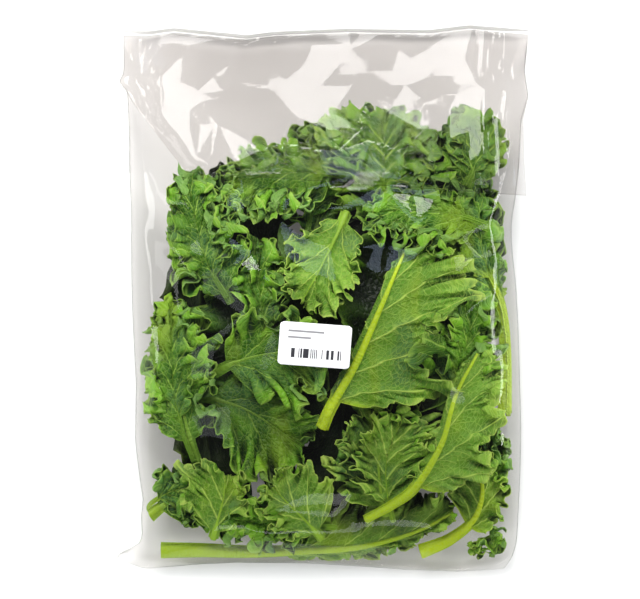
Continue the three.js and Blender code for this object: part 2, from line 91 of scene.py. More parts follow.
# The same for the inner frill, over the middle of a curly leaf of that size.
FRILL = {LARGE: (140, 15), MIDDLE: (100, 12), SMALL: (80, 9)}
STALK_SHARE = 0.12  # the share of the rows that goes to the bare stalk
COLUMN_POWER = 1.35  # crowds the columns toward the margin
RIB_COLUMNS = 7
LEAST_LIME = 0.25  # how pale the stalks of most leaves are


@dataclass
class Leaf:
    """path: (x, y, layer) from the cut end of the stalk to the tip. left, right: the widest half of
    the blade on each side of the rib, looking along the path. stalk: the share of the path with no
    blade. rib: the stalk's radius at its cut end. under: the side with the raised rib faces up.
    waves, ruffle: number and height, in layers, of the margin's broad waves. lobes: lobes along each
    margin. grid: how finely it is divided. fold: the side that is folded under the other, along the
    rib. curly: less where the photographed leaf lies smooth. curl_size: its curls' share of the
    lengths in CURLS. pale: how pale the stalk is, or 0 where it is green and slim. end: how thick
    its cut end is, of its solid's, where the photographed one tapers toward it or is hidden."""

    number: int
    path: list
    left: float
    right: float
    stalk: float
    rib: float
    under: bool
    waves: float
    ruffle: float
    lobes: int
    seed: int
    grid: tuple
    fold: str = ""
    curly: float = 1.3
    curl_size: float = 0.8
    pale: float = 0
    end: float = 1
    kind: str = "leaf"

    @property
    def name(self):
        """That of its node in the CAD model."""
        return f"kale_{self.kind}_{self.number:02}"


LEAVES = [
    Leaf(1, [(0, -90, 3.9), (6, -76, 4.1), (24, -44, 4.3), (40, -8, 4.4), (51, 18, 4.4), (58, 34, 4.3)],
        46, 66, 0.16, 4.6, True, 5.5, 0.3, 5, 1, LARGE, "left", curly=0.5, curl_size=1.0, pale=1.0,
        end=0.75),
    Leaf(2, [(30, -154, 4), (48, -144, 4.1), (64, -132, 4.2), (83, -101, 4.3), (93, -67, 4.4),
        (108, -38, 4.4)], 28, 36, 0.3, 4.2, True, 4, 0.3, 4, 2, LARGE, "left", curly=0.5, curl_size=1.0,
        pale=0.8, end=0.5),
    Leaf(3, [(-113, -176, 2.5), (-85, -176, 2.4), (-50, -177, 2.4), (-15, -176, 2.4), (22, -174, 2.4),
        (50, -168, 2.5), (72, -160, 2.5), (92, -149, 2.4)], 32, 7, 0.42, 4.6, True, 5, 0.22, 5, 43,
        LARGE, curly=0.45, curl_size=1.0, pale=0.6),
    Leaf(4, [(0, -167, 4.1), (-9, -157, 4.4), (-22, -144, 4.5), (-34, -131, 4.4)], 20, 30, 0.12, 2.6,
        True, 2.5, 0.3, 3, 4, SMALL, curly=0.7),
    Leaf(5, [(-76, -167, 4.1), (-73, -155, 4.4), (-69, -140, 4.5), (-67, -123, 4.4)], 32, 17, 0.12, 2.6,
        True, 2.5, 0.3, 3, 5, SMALL, curly=0.7),
    Leaf(6, [(-76, -52, 3.8), (-60, -44, 4.3), (-37, -38, 4.5), (-14, -38, 4.5), (0, -44, 4.4)], 27, 34,
        0.15, 3, False, 3, 0.3, 3, 6, SMALL, curly=0.9),
    Leaf(7, [(-88, -68, 3.3), (-74, -70, 3.4), (-53, -77, 3.5), (-32, -90, 3.5), (-14, -103, 3.4)], 26,
        42, 0.15, 3, False, 3.5, 0.3, 3, 7, SMALL, curly=0.8),
    Leaf(8, [(17, 60, 3.6), (10, 44, 4.3), (-3, 18, 4.5), (-13, 0, 4.5)], 26, 24, 0.1, 3, True, 3, 0.3,
        3, 8, SMALL, curly=0.8),
    Leaf(9, [(16, 88, 3.6), (-12, 90, 4.3), (-40, 88, 4.5), (-66, 80, 4.5)], 32, 20, 0.1, 3, False, 3,
        0.3, 3, 9, SMALL),
    Leaf(10, [(-63, -3, 3.7), (-77, 22, 4.4), (-86, 56, 4.5), (-91, 84, 4.4)], 24, 24, 0.1, 3.2, False,
        4, 0.34, 4, 10, MIDDLE, end=0.6),
    Leaf(11, [(-84, -120, 3.2), (-92, -98, 3.7), (-98, -70, 4.2), (-100, -36, 4.4), (-100, -8, 4.4)],
        22, 22, 0.2, 4, False, 4, 0.34, 4, 11, MIDDLE, end=0.45),
    Leaf(12, [(44, 60, 3.6), (46, 80, 4.3), (46, 104, 4.4), (44, 124, 4.3)], 40, 34, 0.2, 3.4, False, 3,
        0.34, 4, 12, MIDDLE),
    Leaf(13, [(128.5, -80, 2.7), (129, -40, 2.7), (124, -2, 2.9), (113, 24, 3.3), (107, 48, 3.5),
        (103, 76, 3.5), (101, 108, 3.5)], 36, 12, 0.42, 4.6, False, 5, 0.34, 5, 13, MIDDLE, pale=0.9),
    Leaf(14, [(45, -151, 3.1), (41, -134, 3.2), (40, -108, 3.4), (49, -80, 3.3)], 30, 36, 0.1, 3.2,
        True, 4, 0.32, 4, 14, LARGE, curly=1.1, curl_size=0.55),
    Leaf(15, [(69, -177, 2.4), (90, -168, 2.2), (107, -153, 2.4), (112, -132, 2.9), (105, -110, 3)], 30,
        15, 0.42, 4.2, True, 4, 0.3, 4, 51, MIDDLE, curly=0.7, pale=1.0),
    Leaf(16, [(118, -142, 1.6), (118, -122, 1.8), (117, -104, 1.8), (116, -92, 1.8)], 22, 12, 0.15, 3,
        False, 4, 0.3, 4, 16, SMALL),
    Leaf(17, [(-20, -140, 2.5), (-32, -60, 2.5), (-42, 20, 2.5), (-45, 92, 2.5)], 50, 38, 0.15, 4,
        False, 5, 0.34, 5, 17, INNER),
    Leaf(18, [(38, -120, 2.5), (52, -40, 2.5), (58, 40, 2.5), (50, 116, 2.5)], 40, 50, 0.15, 4, False,
        5, 0.34, 5, 18, INNER),
    Leaf(19, [(70, 108, 1.5), (42, 40, 1.5), (20, -40, 1.5), (10, -146, 1.5)], 52, 50, 0.15, 4, True, 5,
        0.34, 5, 19, INNER),
    Leaf(20, [(-76, 84, 1.5), (-84, 20, 1.5), (-84, -60, 1.5), (-72, -160, 1.5)], 36, 24, 0.12, 4, True,
        5, 0.34, 5, 20, INNER),
    Leaf(21, [(84, -78, 3.1), (90, -50, 3.3), (98, -22, 3.5), (100, 4, 3.5)], 24, 22, 0.15, 3.2, False,
        4, 0.3, 4, 21, SMALL),
    Leaf(22, [(-26, -150, 0.5), (-56, -80, 0.5), (-70, 0, 0.5), (-66, 90, 0.5)], 34, 52, 0.15, 3.6,
        False, 5, 0.34, 5, 22, INNER),
    Leaf(23, [(62, -150, 0.5), (56, -60, 0.5), (60, 20, 0.5), (74, 100, 0.5)], 56, 54, 0.15, 3.6, False,
        5, 0.34, 5, 23, INNER),
    Leaf(24, [(-121, -152, 2.4), (-110, -144, 2.5), (-98, -138, 2.7), (-84, -136, 2.8)], 14, 22, 0.25,
        3.8, False, 3, 0.3, 3, 24, SMALL, pale=0.7),
    Leaf(25, [(101, 78, 4.2), (107, 92, 4.4), (110, 110, 4.4), (108, 126, 4.3)], 24, 16, 0.15, 3, False,
        3, 0.34, 3, 25, SMALL),
    Leaf(26, [(-40, -34, 3.2), (-45, -8, 3.4), (-48, 18, 3.5), (-46, 42, 3.5)], 12, 20, 0.12, 3, False,
        3, 0.3, 3, 26, SMALL),
    Leaf(27, [(6, -155, 3.1), (-20, -153, 3.3), (-48, -150, 3.4), (-72, -150, 3.4)], 20, 18, 0.12, 3,
        False, 3, 0.3, 3, 27, SMALL),
    Leaf(28, [(-6, 36, 3.1), (-2, 62, 3), (1, 90, 3), (2, 116, 3)], 24, 26, 0.12, 3, False, 3, 0.3, 3,
        30, SMALL),
    Leaf(29, [(117, 50, 4.4), (98, 56, 4.6), (70, 60, 4.7), (36, 58, 4.7)], 24, 20, 0.1, 2.4, False, 3,
        0.3, 3, 31, SMALL, curl_size=0.65),
    Leaf(1, [(103, -170, 2.6), (106, -175, 2.6), (111, -179, 2.6)], 4, 2, 0.1, 0.7, True, 1, 0.05, 1,
        28, TINY, kind="scrap"),
    Leaf(2, [(119, -181, 2.6), (120, -174, 2.6), (122, -164, 2.6)], 5, 5, 0.1, 0.9, False, 2, 0.2, 2,
        29, TINY, kind="scrap"),
]


# ---------------------------------------------------------------- small helpers
def mix(a, b, t):
    return a + (b - a) * t


def smooth(low, high, v):
    """0 up to low and 1 from high on, with an even turn between them."""
    t = np.clip((v - low) / (high - low), 0, 1)
    return t * t * (3 - 2 * t)


def between(v):
    """How far numbers lie between whole ones: 0 on a whole one and 1 halfway."""
    return 2 * np.abs(v - np.round(v))


def unit(v):
    return v / np.maximum(np.linalg.norm(v, axis=-1, keepdims=True), 1e-9)


def through(rows, key):
    """A smooth curve through rows of (key, value, value, ...), read at an array of keys. It is the
    curve that the solids follow: its slopes are the chords', and it stays level past its ends."""
    rows = np.asarray(rows, float)
    last = len(rows) - 1
    at = np.clip(np.asarray(key, float), rows[0, 0], rows[last, 0])
    i = np.searchsorted(rows[1:last, 0], at, side="left")
    a, b = rows[i], rows[i + 1]
    before, after = rows[np.maximum(0, i - 1)], rows[np.minimum(last, i + 2)]
    span = (b - a)[..., :1]
    t = (at - a[..., 0])[..., None] / span
    slope_a = (b - before)[..., 1:] / (b - before)[..., :1] * span
    slope_b = (after - a)[..., 1:] / (after - a)[..., :1] * span
    curve = mix(a[..., 1:], b[..., 1:], t * t * (3 - 2 * t))
    return curve + t * (1 - t) ** 2 * slope_a + t * t * (t - 1) * slope_b


def noise(x, y, seed):
    """Smooth noise between -1 and 1, with one feature to a unit of x and y, which may be one number."""
    size = 64
    table = np.random.RandomState(seed).uniform(-1, 1, (size, size))
    x0, y0 = np.floor(x).astype(int), np.floor(y).astype(int)
    fx, fy = smooth(0, 1, x - x0), smooth(0, 1, y - y0)
    corner = lambda dx, dy: table[(x0 + dx) % size, (y0 + dy) % size]
    return mix(mix(corner(0, 0), corner(1, 0), fx), mix(corner(0, 1), corner(1, 1), fx), fy)


# ---------------------------------------------------------------- the space in the bag
def bag_at(y):
    """The bag's left edge, its right edge and the height of its front film, at y along it."""
    return np.moveaxis(through(BAG_STATIONS, y), -1, 0)


def film_heights(x, y):
    """The heights of the bag's front and back film, without creases."""
    left, right, top = bag_at(y)
    across = np.clip(np.abs((x - (left + right) / 2) / ((right - left) / 2)), 0, 1)
    lowest = np.minimum(EDGE_RISE, (top - SEAM) / 2)
    back = lowest * np.maximum(0, (across - FLAT_BACK) / (1 - FLAT_BACK)) ** 2
    front = mix(lowest + SEAM, top, (1 - across ** CROWN[0]) ** CROWN[1])
    return front, back


def layer_height(x, y, layer):
    """The height of a layer of the pack, 0 at the back film and LAYERS at the front film."""
    front, back = film_heights(x, y)
    return mix(back + FILM + PACK_GAP, front - FILM - PACK_GAP, layer / LAYERS)


# ---------------------------------------------------------------- leaves
# One level of the curls along a margin: the length of a curl, where across the blade it starts and
# is full (0 at the rib, 1 at the margin), its height and its overhang in curl lengths, and how much
# a leaf's curliness counts: smooth blades keep fine margins.
CURLS = [
    (32, 0.15, 0.8, 0.3, 0.18, 1.0),
    (13, 0.28, 0.85, 0.42, 0.17, 0.65),
    (6, 0.5, 0.95, 0.5, 0.15, 0.35),
]
SHORT_LEAF, SHORTEST_CURL = 90, 0.75  # below this length the longest curls shrink, to this share
SLIM_RIB, SLIM_OVER = 0.5, 0.15  # what a green rib keeps of its radius, past this share of its blade
END_OVER = 0.4  # share of the path over which a slim end widens
RIB_TIP, RIB_TAPER = 0.2, 0.8  # share of the radius left at the tip, and the power of its taper
FRILLED_FROM = 1.1  # a leaf at least this curly has an inner frill, unless it is hidden or tiny
CROOK, WANDER = 3.0, 1.6  # how far, in radians, the curls stray from straight and from even folds
CALM, CALM_VARIES = 0.75, 0.45  # the share of their height that they have, and how far it varies
CROOK_RUN, WANDER_RUN, CALM_RUN = (0.9, 1.3), 2.3, 1.4  # over how many curls these three change
TWIST = 0.9  # how far, in radians, curls move along the leaf on their way to the margin
ROLL_AHEAD = 1.3  # how far, in radians, their roll is ahead of their swing
FOLDED_CURL, FOLDED_RUFFLE = 0.35, 0.4  # how much of its curls and waves the folded half keeps
MARGIN_FROM = 0.58  # share of the blade's width from which its margin turns up or down
MARGIN_RADIUS = 4.5  # of that turn
MARGIN_LEAST, MARGIN_MOST = -0.6, 2.5  # angles of the turn, in radians
MARGIN_SPARE = 0.38  # how much wider a curly blade is cut than it reaches, for its turned margin
WALL_FROM, WALL_GIVE = 0.92, 0.055  # where the bag's sides start to hold a leaf back, and how softly
PACK_ENDS = (-183, 176)  # how far the leaves reach along the bag
PACK_LEFT = [(-188, -140), (-10, -140), (5, -100), (176, -100)]  # its empty left side: y and x
PACK_GIVE = (12, 18)  # how far past it a leaf may reach, and how softly it is held there
FRONT_CLEAR, BACK_CLEAR = 3.6, 1.2  # least distance of a sheet's middle from the front and back film
CURLS_UP, CURLS_DOWN = 1.0, 1.1  # how far, in layers, curls reach above and below their leaf
TOP_LAYER = 3.8  # above it they may reach up to the film
HELD_FROM = 0.6  # the share of their room from which curls flatten
LEAST_ROOM = 0.4  # the least room left above and below its middle
OVAL, FOLDED_OVAL = 0.6, 2.4  # power of the sine that gives a blade's form, and of a folded half's
WIDEST, TIP = 0.75, 0.985  # the power that moves its widest place to the base, and where it ends
FULL = 1.1  # how far the lobes reach, of that form
CUT, NOTCH = 0.4, 0.2  # depth of the cuts between lobes and in their sides, of the blade's width
SHARP = 3  # power that keeps those cuts narrow
TOOTH = (4.2, 1.5)  # pitch and depth of the margin's teeth
TOOTH_MEAN, TOOTH_VARIES = 0.8, 0.6  # how deep they are, of that depth, and how far it varies
STRAY, STRAY_RUN = 0.9, 2.5  # how far, in teeth, they are off an even row, and over how many it changes
SLANT_BASE, SLANT_TIP = 1.35, 0.75  # angle, in radians, between the rib and the blade's rows
STEP = 0.004  # share of the path over which its direction is read
VEIN_BOW = 0.9  # how far, in lobes, a lateral vein bends forward on its way to the margin
CRUMPLE = 2.6  # height of the uneven bulges all over a curly blade
CRUMPLE_SIZE, CRINKLE_SIZE = 13, 5.5  # across those bulges, and across smaller ones half as high
QUILT = 1.8  # how far the blade bulges between its lateral veins
VEIN_WIDE, VEIN_HIGH = (1.5, 0.6), (1.1, 0.15)  # of a lateral vein, at the rib and at the margin
VEIN_SUNK = 0.8  # how deep it lies in the other side, of its height
STALK_ENDS, STALK_FULL = 0.05, 0.03  # past and before the blade's base, where the stalk's colour fades
FRILL_WIDTH, FRILL_SWAY = 0.68, 5  # of its leaf's width, and how far it lies to one side
FRILL_ABOVE, FRILL_TOP = 0.3, 4.75  # how many layers it lies above its leaf, and its highest layer
FRILL_BASE, FRILL_RIB = 0.1, 0.8  # how much further up the path it starts, and its rib's radius


def rib_radius(leaf, s):
    """The stalk tapers to a vein at the tip, and is slim along most of the blades."""
    slim = 1 if leaf.pale else mix(1, SLIM_RIB, smooth(0, SLIM_OVER, along_blade(leaf, s)))
    end = mix(leaf.end, 1, smooth(0, END_OVER, s))
    return leaf.rib * mix(1, RIB_TIP, s**RIB_TAPER) * slim * end


def is_folded(leaf, side):
    return leaf.fold == ("left" if side < 0 else "right")


def along_blade(leaf, s):
    """0 up to the blade's base, and 1 at its tip."""
    return np.clip((s - leaf.stalk) / (1 - leaf.stalk), 0, 1)


def lobe_phase(leaf, s, side):
    """A count of lobes along the margin, whole at the middle of each lobe."""
    return leaf.lobes * along_blade(leaf, s) + (leaf.seed + side) / (2 * np.pi) - 0.25


def vein_count(leaf, s, side, q):
    """A count of lateral veins, whole on each vein: they leave the rib early and bend forward."""
    return lobe_phase(leaf, s, side)[:, None] + VEIN_BOW * (1 - q) ** 2


def half_width(leaf, s, side, length):
    """Half width of the blade on one side: an oval with lobes, the cuts between them and teeth."""
    b = along_blade(leaf, s)
    power = FOLDED_OVAL if is_folded(leaf, side) else OVAL
    oval = np.sin(np.pi * np.minimum(b, TIP) ** WIDEST) ** power
    lobe = lobe_phase(leaf, s, side)
    lobes = between(lobe) ** SHARP * smooth(1.0, 0.5, b)
    small_lobes = between(2 * lobe) ** SHARP
    seed = leaf.seed * 7 + side
    pitch, depth = TOOTH
    turns = b * length / pitch + STRAY * noise(b * length / (STRAY_RUN * pitch), seed, seed)
    saw = between(turns) * (TOOTH_MEAN + TOOTH_VARIES * noise(turns * 0.5, seed, seed + 1))
    shape = oval * (FULL - CUT * lobes - NOTCH * small_lobes)
    width = (leaf.left if side < 0 else leaf.right) * shape - depth * saw * np.minimum(1, 4 * oval)
    return np.where(b > 0, WING + np.maximum(0, width), WING)


def soften(field, passes):
    """Evens a grid out with its neighbours."""
    for _ in range(passes):
        for axis in (0, 1):
            pad = [(0, 0)] * field.ndim
            pad[axis] = (1, 1)
            wide = np.swapaxes(np.pad(field, pad, mode="edge"), 0, axis)
            field = np.swapaxes((wide[:-2] + 2 * wide[1:-1] + wide[2:]) / 4, 0, axis)
    return field


def curl(points, sheet, q, level, share, seed):
    """Adds one level of curls to half a blade: it swings along the sheet's normal, and leans over
    along the margin, further out from the rib. sheet: each point's place on the flat sheet."""
    length, start, full, height, overhang = level
    along = soften(np.gradient(points, axis=0), 3)
    over = soften(np.gradient(points, axis=1), 2)
    normal = unit(np.cross(over, along))
    pace = np.linalg.norm(along, axis=-1)
    edge = np.cumsum(pace[:, -1])
    wander = WANDER * noise(edge / (WANDER_RUN * length), seed, seed)
    crook = CROOK * noise(*[at / (run * length) for at, run in zip(sheet, CROOK_RUN)], seed + 2)
    phase = (2 * np.pi * edge / length + wander)[:, None] + TWIST * q + crook
    ramp = smooth(start, full, q)
    calm = CALM + CALM_VARIES * noise(edge / (CALM_RUN * length), seed, seed + 1)
    room = np.minimum(1, pace / np.maximum(pace[:, -1:], 1e-6))
    local = share * length * room * calm[:, None] * ramp
    swing = normal * (local * height * np.sin(phase))[..., None]
    lean = unit(along) * (local * overhang * ramp * np.sin(2 * phase))[..., None]
    roll = unit(over) * (local * overhang * ramp * np.sin(phase + ROLL_AHEAD))[..., None]
    return points + swing - lean + roll


def turn_margin(leaf, s, side, distance, width):
    """How far out, and how far up, a point of the blade is once its margin has turned."""
    seed = leaf.seed * 11 + side
    wander = noise(lobe_phase(leaf, s, side) * 1.2, seed, seed)[:, None]
    angle = mix(MARGIN_LEAST, MARGIN_MOST, 0.5 + 0.5 * wander)
    flat = np.minimum(distance, MARGIN_FROM * width)
    bend = np.minimum((distance - flat) / MARGIN_RADIUS, np.abs(angle))
    rest = distance - flat - bend * MARGIN_RADIUS
    reach = flat + MARGIN_RADIUS * np.sin(bend) + rest * np.cos(angle)
    rise = np.sign(angle) * (MARGIN_RADIUS * (1 - np.cos(bend))) + rest * np.sin(angle)
    return reach, rise


def half_blade(leaf, spine, s, side, length):
    """Half of a leaf's sheet, as a grid of rows along the leaf and columns from the rib to the
    margin, with each point's share q of the way to the margin, its distance from the rib and how
    far its curls lift it."""
    folded = is_folded(leaf, side)
    width = half_width(leaf, s, side, length)[:, None]
    if not folded:
        width = WING + (width - WING) * (1 + MARGIN_SPARE * min(1, leaf.curly))
    columns = leaf.grid[1]
    q = np.tile(1 - (1 - np.arange(columns + 1) / columns) ** COLUMN_POWER, (len(s), 1))
    distance = q * width
    centre = through(spine, s)
    heading = unit(through(spine, s + STEP)[:, :2] - through(spine, s - STEP)[:, :2])
    b = along_blade(leaf, s)[:, None]
    slant = mix(SLANT_BASE, SLANT_TIP, b)
    reach, rise = turn_margin(leaf, s, side, distance, width)
    along, out, drop = reach * np.cos(slant), reach * np.sin(slant), -rise
    if folded:
        turn = np.minimum(distance / FOLD_BEND, np.pi)
        rest = np.maximum(0, distance - np.pi * FOLD_BEND)
        along = rest * np.cos(slant)
        out = FOLD_BEND * np.sin(turn) - rest * np.sin(slant)
        drop = FOLD_BEND * (1 - np.cos(turn))
    out = side * (out + rib_radius(leaf, s)[:, None])
    x = centre[:, :1] + heading[:, :1] * along + heading[:, 1:] * out
    y = centre[:, 1:2] + heading[:, 1:] * along - heading[:, :1] * out
    wave = np.sin(2 * np.pi * leaf.waves * b + leaf.seed * 2.3 + side * 1.1 + q)
    height = leaf.ruffle * (FOLDED_RUFFLE if folded else 1) * np.minimum(1, 6 * b)
    z = layer_height(x, y, centre[:, 2:3] + height * q**1.5 * wave) - drop
    points = np.stack([x, y, z], -1)
    fade = (np.minimum(1, 8 * b) * smooth(0, 0.12, q))[..., None]
    seed = leaf.seed * 13 + (0 if side < 0 else 5)
    crumple = CRUMPLE * noise(x / CRUMPLE_SIZE, y / CRUMPLE_SIZE, seed)
    crinkle = CRUMPLE / 2 * noise(x / CRINKLE_SIZE, y / CRINKLE_SIZE, seed + 1)
    lobe = vein_count(leaf, s, side, q)
    quilt = (-1 if leaf.under else 1) * QUILT * np.sin(np.pi * lobe) ** 2
    points[..., 2] += (leaf.curly * (crumple + crinkle) + quilt) * fade[..., 0]
    pace = np.linalg.norm(np.gradient(points[:, -1], axis=0), axis=-1)
    sheet = np.cumsum(pace)[:, None] + 0 * distance, distance
    curled = points
    for k, (pitch, *form, counts) in enumerate(CURLS):
        size = (np.clip(length / SHORT_LEAF, SHORTEST_CURL, 1) if k == 0 else 1) * leaf.curl_size
        share = leaf.curly**counts * (FOLDED_CURL if folded else 1)
        curled = curl(curled, sheet, q, (pitch * size, *form), share, seed + 10 * k)
    curls = soften(curled - points, 1) * fade
    return points + curls, q, distance, curls[..., 2]


def keep_in_pack(points, leaf):
    """Holds the curls between the film and the layers below, where they flatten softly."""
    x, y, z = np.moveaxis(points, -1, 0)
    left, right, _ = bag_at(y)
    half, centre = (right - left) / 2, (right + left) / 2
    across = (x - centre) / half
    beyond = np.maximum(0, np.abs(across) - WALL_FROM)
    x = centre + half * (across - np.sign(across) * (beyond - WALL_GIVE * np.tanh(beyond / WALL_GIVE)))
    wall = np.interp(y, *zip(*PACK_LEFT))
    beyond = np.maximum(0, wall - x)
    x = np.where(beyond > 0, wall - PACK_GIVE[0] * np.tanh(beyond / PACK_GIVE[1]), x)
    y = np.clip(y, *PACK_ENDS)
    front, back = film_heights(x, y)
    middle = (leaf.path[0][2] + leaf.path[-1][2]) / 2
    high = np.minimum(front - FRONT_CLEAR, layer_height(x, y, middle + CURLS_UP))
    high = np.where(middle > TOP_LAYER, front - FRONT_CLEAR, high)
    low = np.maximum(back + BACK_CLEAR, layer_height(x, y, middle - CURLS_DOWN))
    centre, reach = (high + low) / 2, np.maximum((high - low) / 2, LEAST_ROOM)
    share = (z - centre) / reach
    over, give = np.abs(share) - HELD_FROM, 1 - HELD_FROM
    held = np.where(over < 0, share, np.sign(share) * (HELD_FROM + give * np.tanh(over / give)))
    return np.stack([x, y, centre + held * reach], -1)


def leaf_grid(leaf):
    """A leaf's whole sheet, with what its skin and its material need at each point."""
    path = np.asarray(leaf.path, float)
    steps = np.linalg.norm(np.diff(path[:, :2], axis=0), axis=1)
    length = steps.sum()
    spine = np.column_stack([np.concatenate([[0], np.cumsum(steps)]) / length, path])
    rows = leaf.grid[0]
    stalk_rows = int(rows * STALK_SHARE)
    s = np.concatenate([
        np.linspace(0, leaf.stalk, stalk_rows, endpoint=False),
        np.linspace(leaf.stalk, 1, rows - stalk_rows),
    ])
    left, left_q, left_d, left_crest = half_blade(leaf, spine, s, -1, length)
    right, right_q, right_d, right_crest = half_blade(leaf, spine, s, 1, length)
    c = np.linspace(-1, 1, RIB_COLUMNS + 2)[1:-1]
    ridge = mix(left[:, :1], right[:, :1], ((c + 1) / 2)[None, :, None])
    radius = rib_radius(leaf, s)[:, None]
    flat = np.zeros_like
    span = length * (1 - leaf.stalk) / leaf.lobes
    join = lambda a, b, d: np.concatenate([a[:, ::-1], b, d], axis=1)
    none = np.zeros((len(s), RIB_COLUMNS))
    edge = join(left_q, none, right_q)
    points = keep_in_pack(join(left, ridge, right), leaf)
    stalk = smooth(leaf.stalk + STALK_ENDS, leaf.stalk - STALK_FULL, s)
    return {
        "points": points,
        "depth": film_heights(points[..., 0], points[..., 1])[0] - points[..., 2],
        "swell": join(flat(left_q), radius * np.sqrt(1 - c * c), flat(right_q)),
        "rib": join(flat(left_q), none + np.sqrt(1 - c * c), flat(right_q)),
        "edge": edge,
        "lateral": join(vein_count(leaf, s, -1, left_q), none, vein_count(leaf, s, 1, right_q)),
        "distance": join(left_d, none, right_d),
        "crest": join(left_crest, none, right_crest),
        "along": (s * length)[:, None] + 0 * edge,
        "span": span + 0 * edge,
        "stalk": stalk[:, None] + 0 * edge,
    }


def vein_ridges(grid):
    """How far the lateral veins stand out of the under side."""
    off = between(grid["lateral"]) * grid["span"] / 2
    wide, high = mix(*VEIN_WIDE, grid["edge"]), mix(*VEIN_HIGH, grid["edge"])
    return (1 - grid["rib"]) * high * smooth(wide, 0, off)


# ---------------------------------------------------------------- meshes
def grid_faces(rows, columns, start=0, around=False):
    """Quads of a grid of points, whose last column joins the first where it goes around."""
    i, j = np.meshgrid(np.arange(rows - 1), np.arange(columns - (not around)), indexing="ij")
    k = (j + 1) % columns
    a, b, c, d = i * columns + j, i * columns + k, (i + 1) * columns + k, (i + 1) * columns + j
    return start + np.stack([a, b, c, d], -1).reshape(-1, 4)


def make_mesh(name, points, faces, materials, face_material=None):
    """An object in the scene, in metres, from points in millimetres and quads."""
    mesh = bpy.data.meshes.new(name)
    points = points.reshape(-1, 3) * MM
    mesh.vertices.add(len(points))
    mesh.vertices.foreach_set("co", points.astype(np.float32).ravel())
    mesh.loops.add(faces.size)
    mesh.loops.foreach_set("vertex_index", faces.astype(np.int32).ravel())
    mesh.polygons.add(len(faces))
    mesh.polygons.foreach_set("loop_start", np.arange(0, faces.size, 4, dtype=np.int32))
    for material in materials:
        mesh.materials.append(material)
    if face_material is not None:
        mesh.polygons.foreach_set("material_index", face_material.astype(np.int32))
    mesh.polygons.foreach_set("use_smooth", np.ones(len(faces), bool))
    mesh.update(calc_edges=True)
    mesh.validate()
    piece = bpy.data.objects.new(name, mesh)
    bpy.context.scene.collection.objects.link(piece)
    return piece


def skin(grid, up, down):
    """A closed skin round a grid of points, thickened up and down along its normals: its points, its
    faces, and 1 for each face of its lower side."""
    rows, columns = grid.shape[:2]
    normal = unit(np.cross(np.gradient(grid, axis=1), np.gradient(grid, axis=0)))
    points = np.stack([grid + normal * up[..., None], grid - normal * down[..., None]])
    count = rows * columns
    top = grid_faces(rows, columns)
    bottom = grid_faces(rows, columns, count)[:, ::-1]
    index = np.arange(count).reshape(rows, columns)
    rim = np.concatenate([index[0, :], index[1:, -1], index[-1, -2::-1], index[-2:0:-1, 0]])
    after = np.roll(rim, -1)
    side = np.stack([after, rim, rim + count, after + count], -1)
    faces = np.concatenate([top, bottom, side])
    kind = np.concatenate([np.zeros(len(top)), np.ones(len(bottom)), np.zeros(len(side))])
    return points.reshape(-1, 3), faces, kind


def store(piece, name, grids):
    """Keeps a value for each point of some grids, on both faces of their skins, for the material."""
    attribute = piece.data.attributes.new(name, "FLOAT", "POINT")
    values = np.concatenate([np.tile(values.ravel(), 2) for values in grids])
    attribute.data.foreach_set("value", values.astype(np.float32))


def inner_frill(leaf):
    """The ruffles that fold over the middle of a curly leaf, as a smaller blade just above it."""
    sway = FRILL_SWAY * np.sin(leaf.seed)
    path = [
        (x + sway, y - sway, min(layer + FRILL_ABOVE, FRILL_TOP)) for x, y, layer in leaf.path
    ]
    return replace(
        leaf, path=path, left=FRILL_WIDTH * leaf.left, right=FRILL_WIDTH * leaf.right,
        stalk=leaf.stalk + FRILL_BASE, rib=FRILL_RIB, lobes=leaf.lobes + 1,
        seed=leaf.seed + 60, grid=FRILL[leaf.grid],
    )


def leaf_skin(leaf, grid):
    """A sheet's skin, with its rib and veins raised on its under side and sunk on the other."""
    up, down = (RIB_RAISED, RIB_FLAT) if leaf.under else (RIB_FLAT, RIB_RAISED)
    veins = vein_ridges(grid)
    half = BLADE / 2
    sign = 1 if leaf.under else -1
    return skin(
        grid["points"],
        half + up * grid["swell"] + sign * veins,
        half + down * grid["swell"] - sign * veins * VEIN_SUNK,
    )


def add_leaf(leaf, surfaces):
    """A leaf as one piece, with its inner frill, and the values that its material reads."""
    frilled = leaf.curly >= FRILLED_FROM and leaf.grid in FRILL
    sheets = [leaf, inner_frill(leaf)] if frilled else [leaf]
    grids = [leaf_grid(sheet) for sheet in sheets]
    skins = [leaf_skin(sheet, grid) for sheet, grid in zip(sheets, grids)]
    points, faces, kinds = zip(*skins)
    starts = np.cumsum([0] + [len(one) for one in points])
    piece = make_mesh(
        leaf.name.replace("kale_", "curly_"),
        np.concatenate(points),
        np.concatenate([one + start for one, start in zip(faces, starts)]),
        # The lower faces of leaves lying upper side up take the darker copy of the under side's colours:
        # painted shade.
        [surfaces[side] for side in (("under", "upper") if leaf.under else ("upper", "margin"))],
        np.concatenate(kinds),
    )
    # crest and depth also drive the material's painted highlight on crests and its painted shade in
    # valleys and deep in the pack.
    for name in ("rib", "edge", "lateral", "distance", "along", "crest", "stalk", "span", "depth"):
        store(piece, name, [grid[name] for grid in grids])
    lime, tone = leaf.pale or LEAST_LIME, noise(leaf.seed * 1.7, 0.5, 3)
    store(piece, "lime", [lime + 0 * grid["edge"] for grid in grids])
    store(piece, "tone", [tone + 0 * grid["edge"] for grid in grids])
    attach(piece, "root")
    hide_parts(leaf.name)


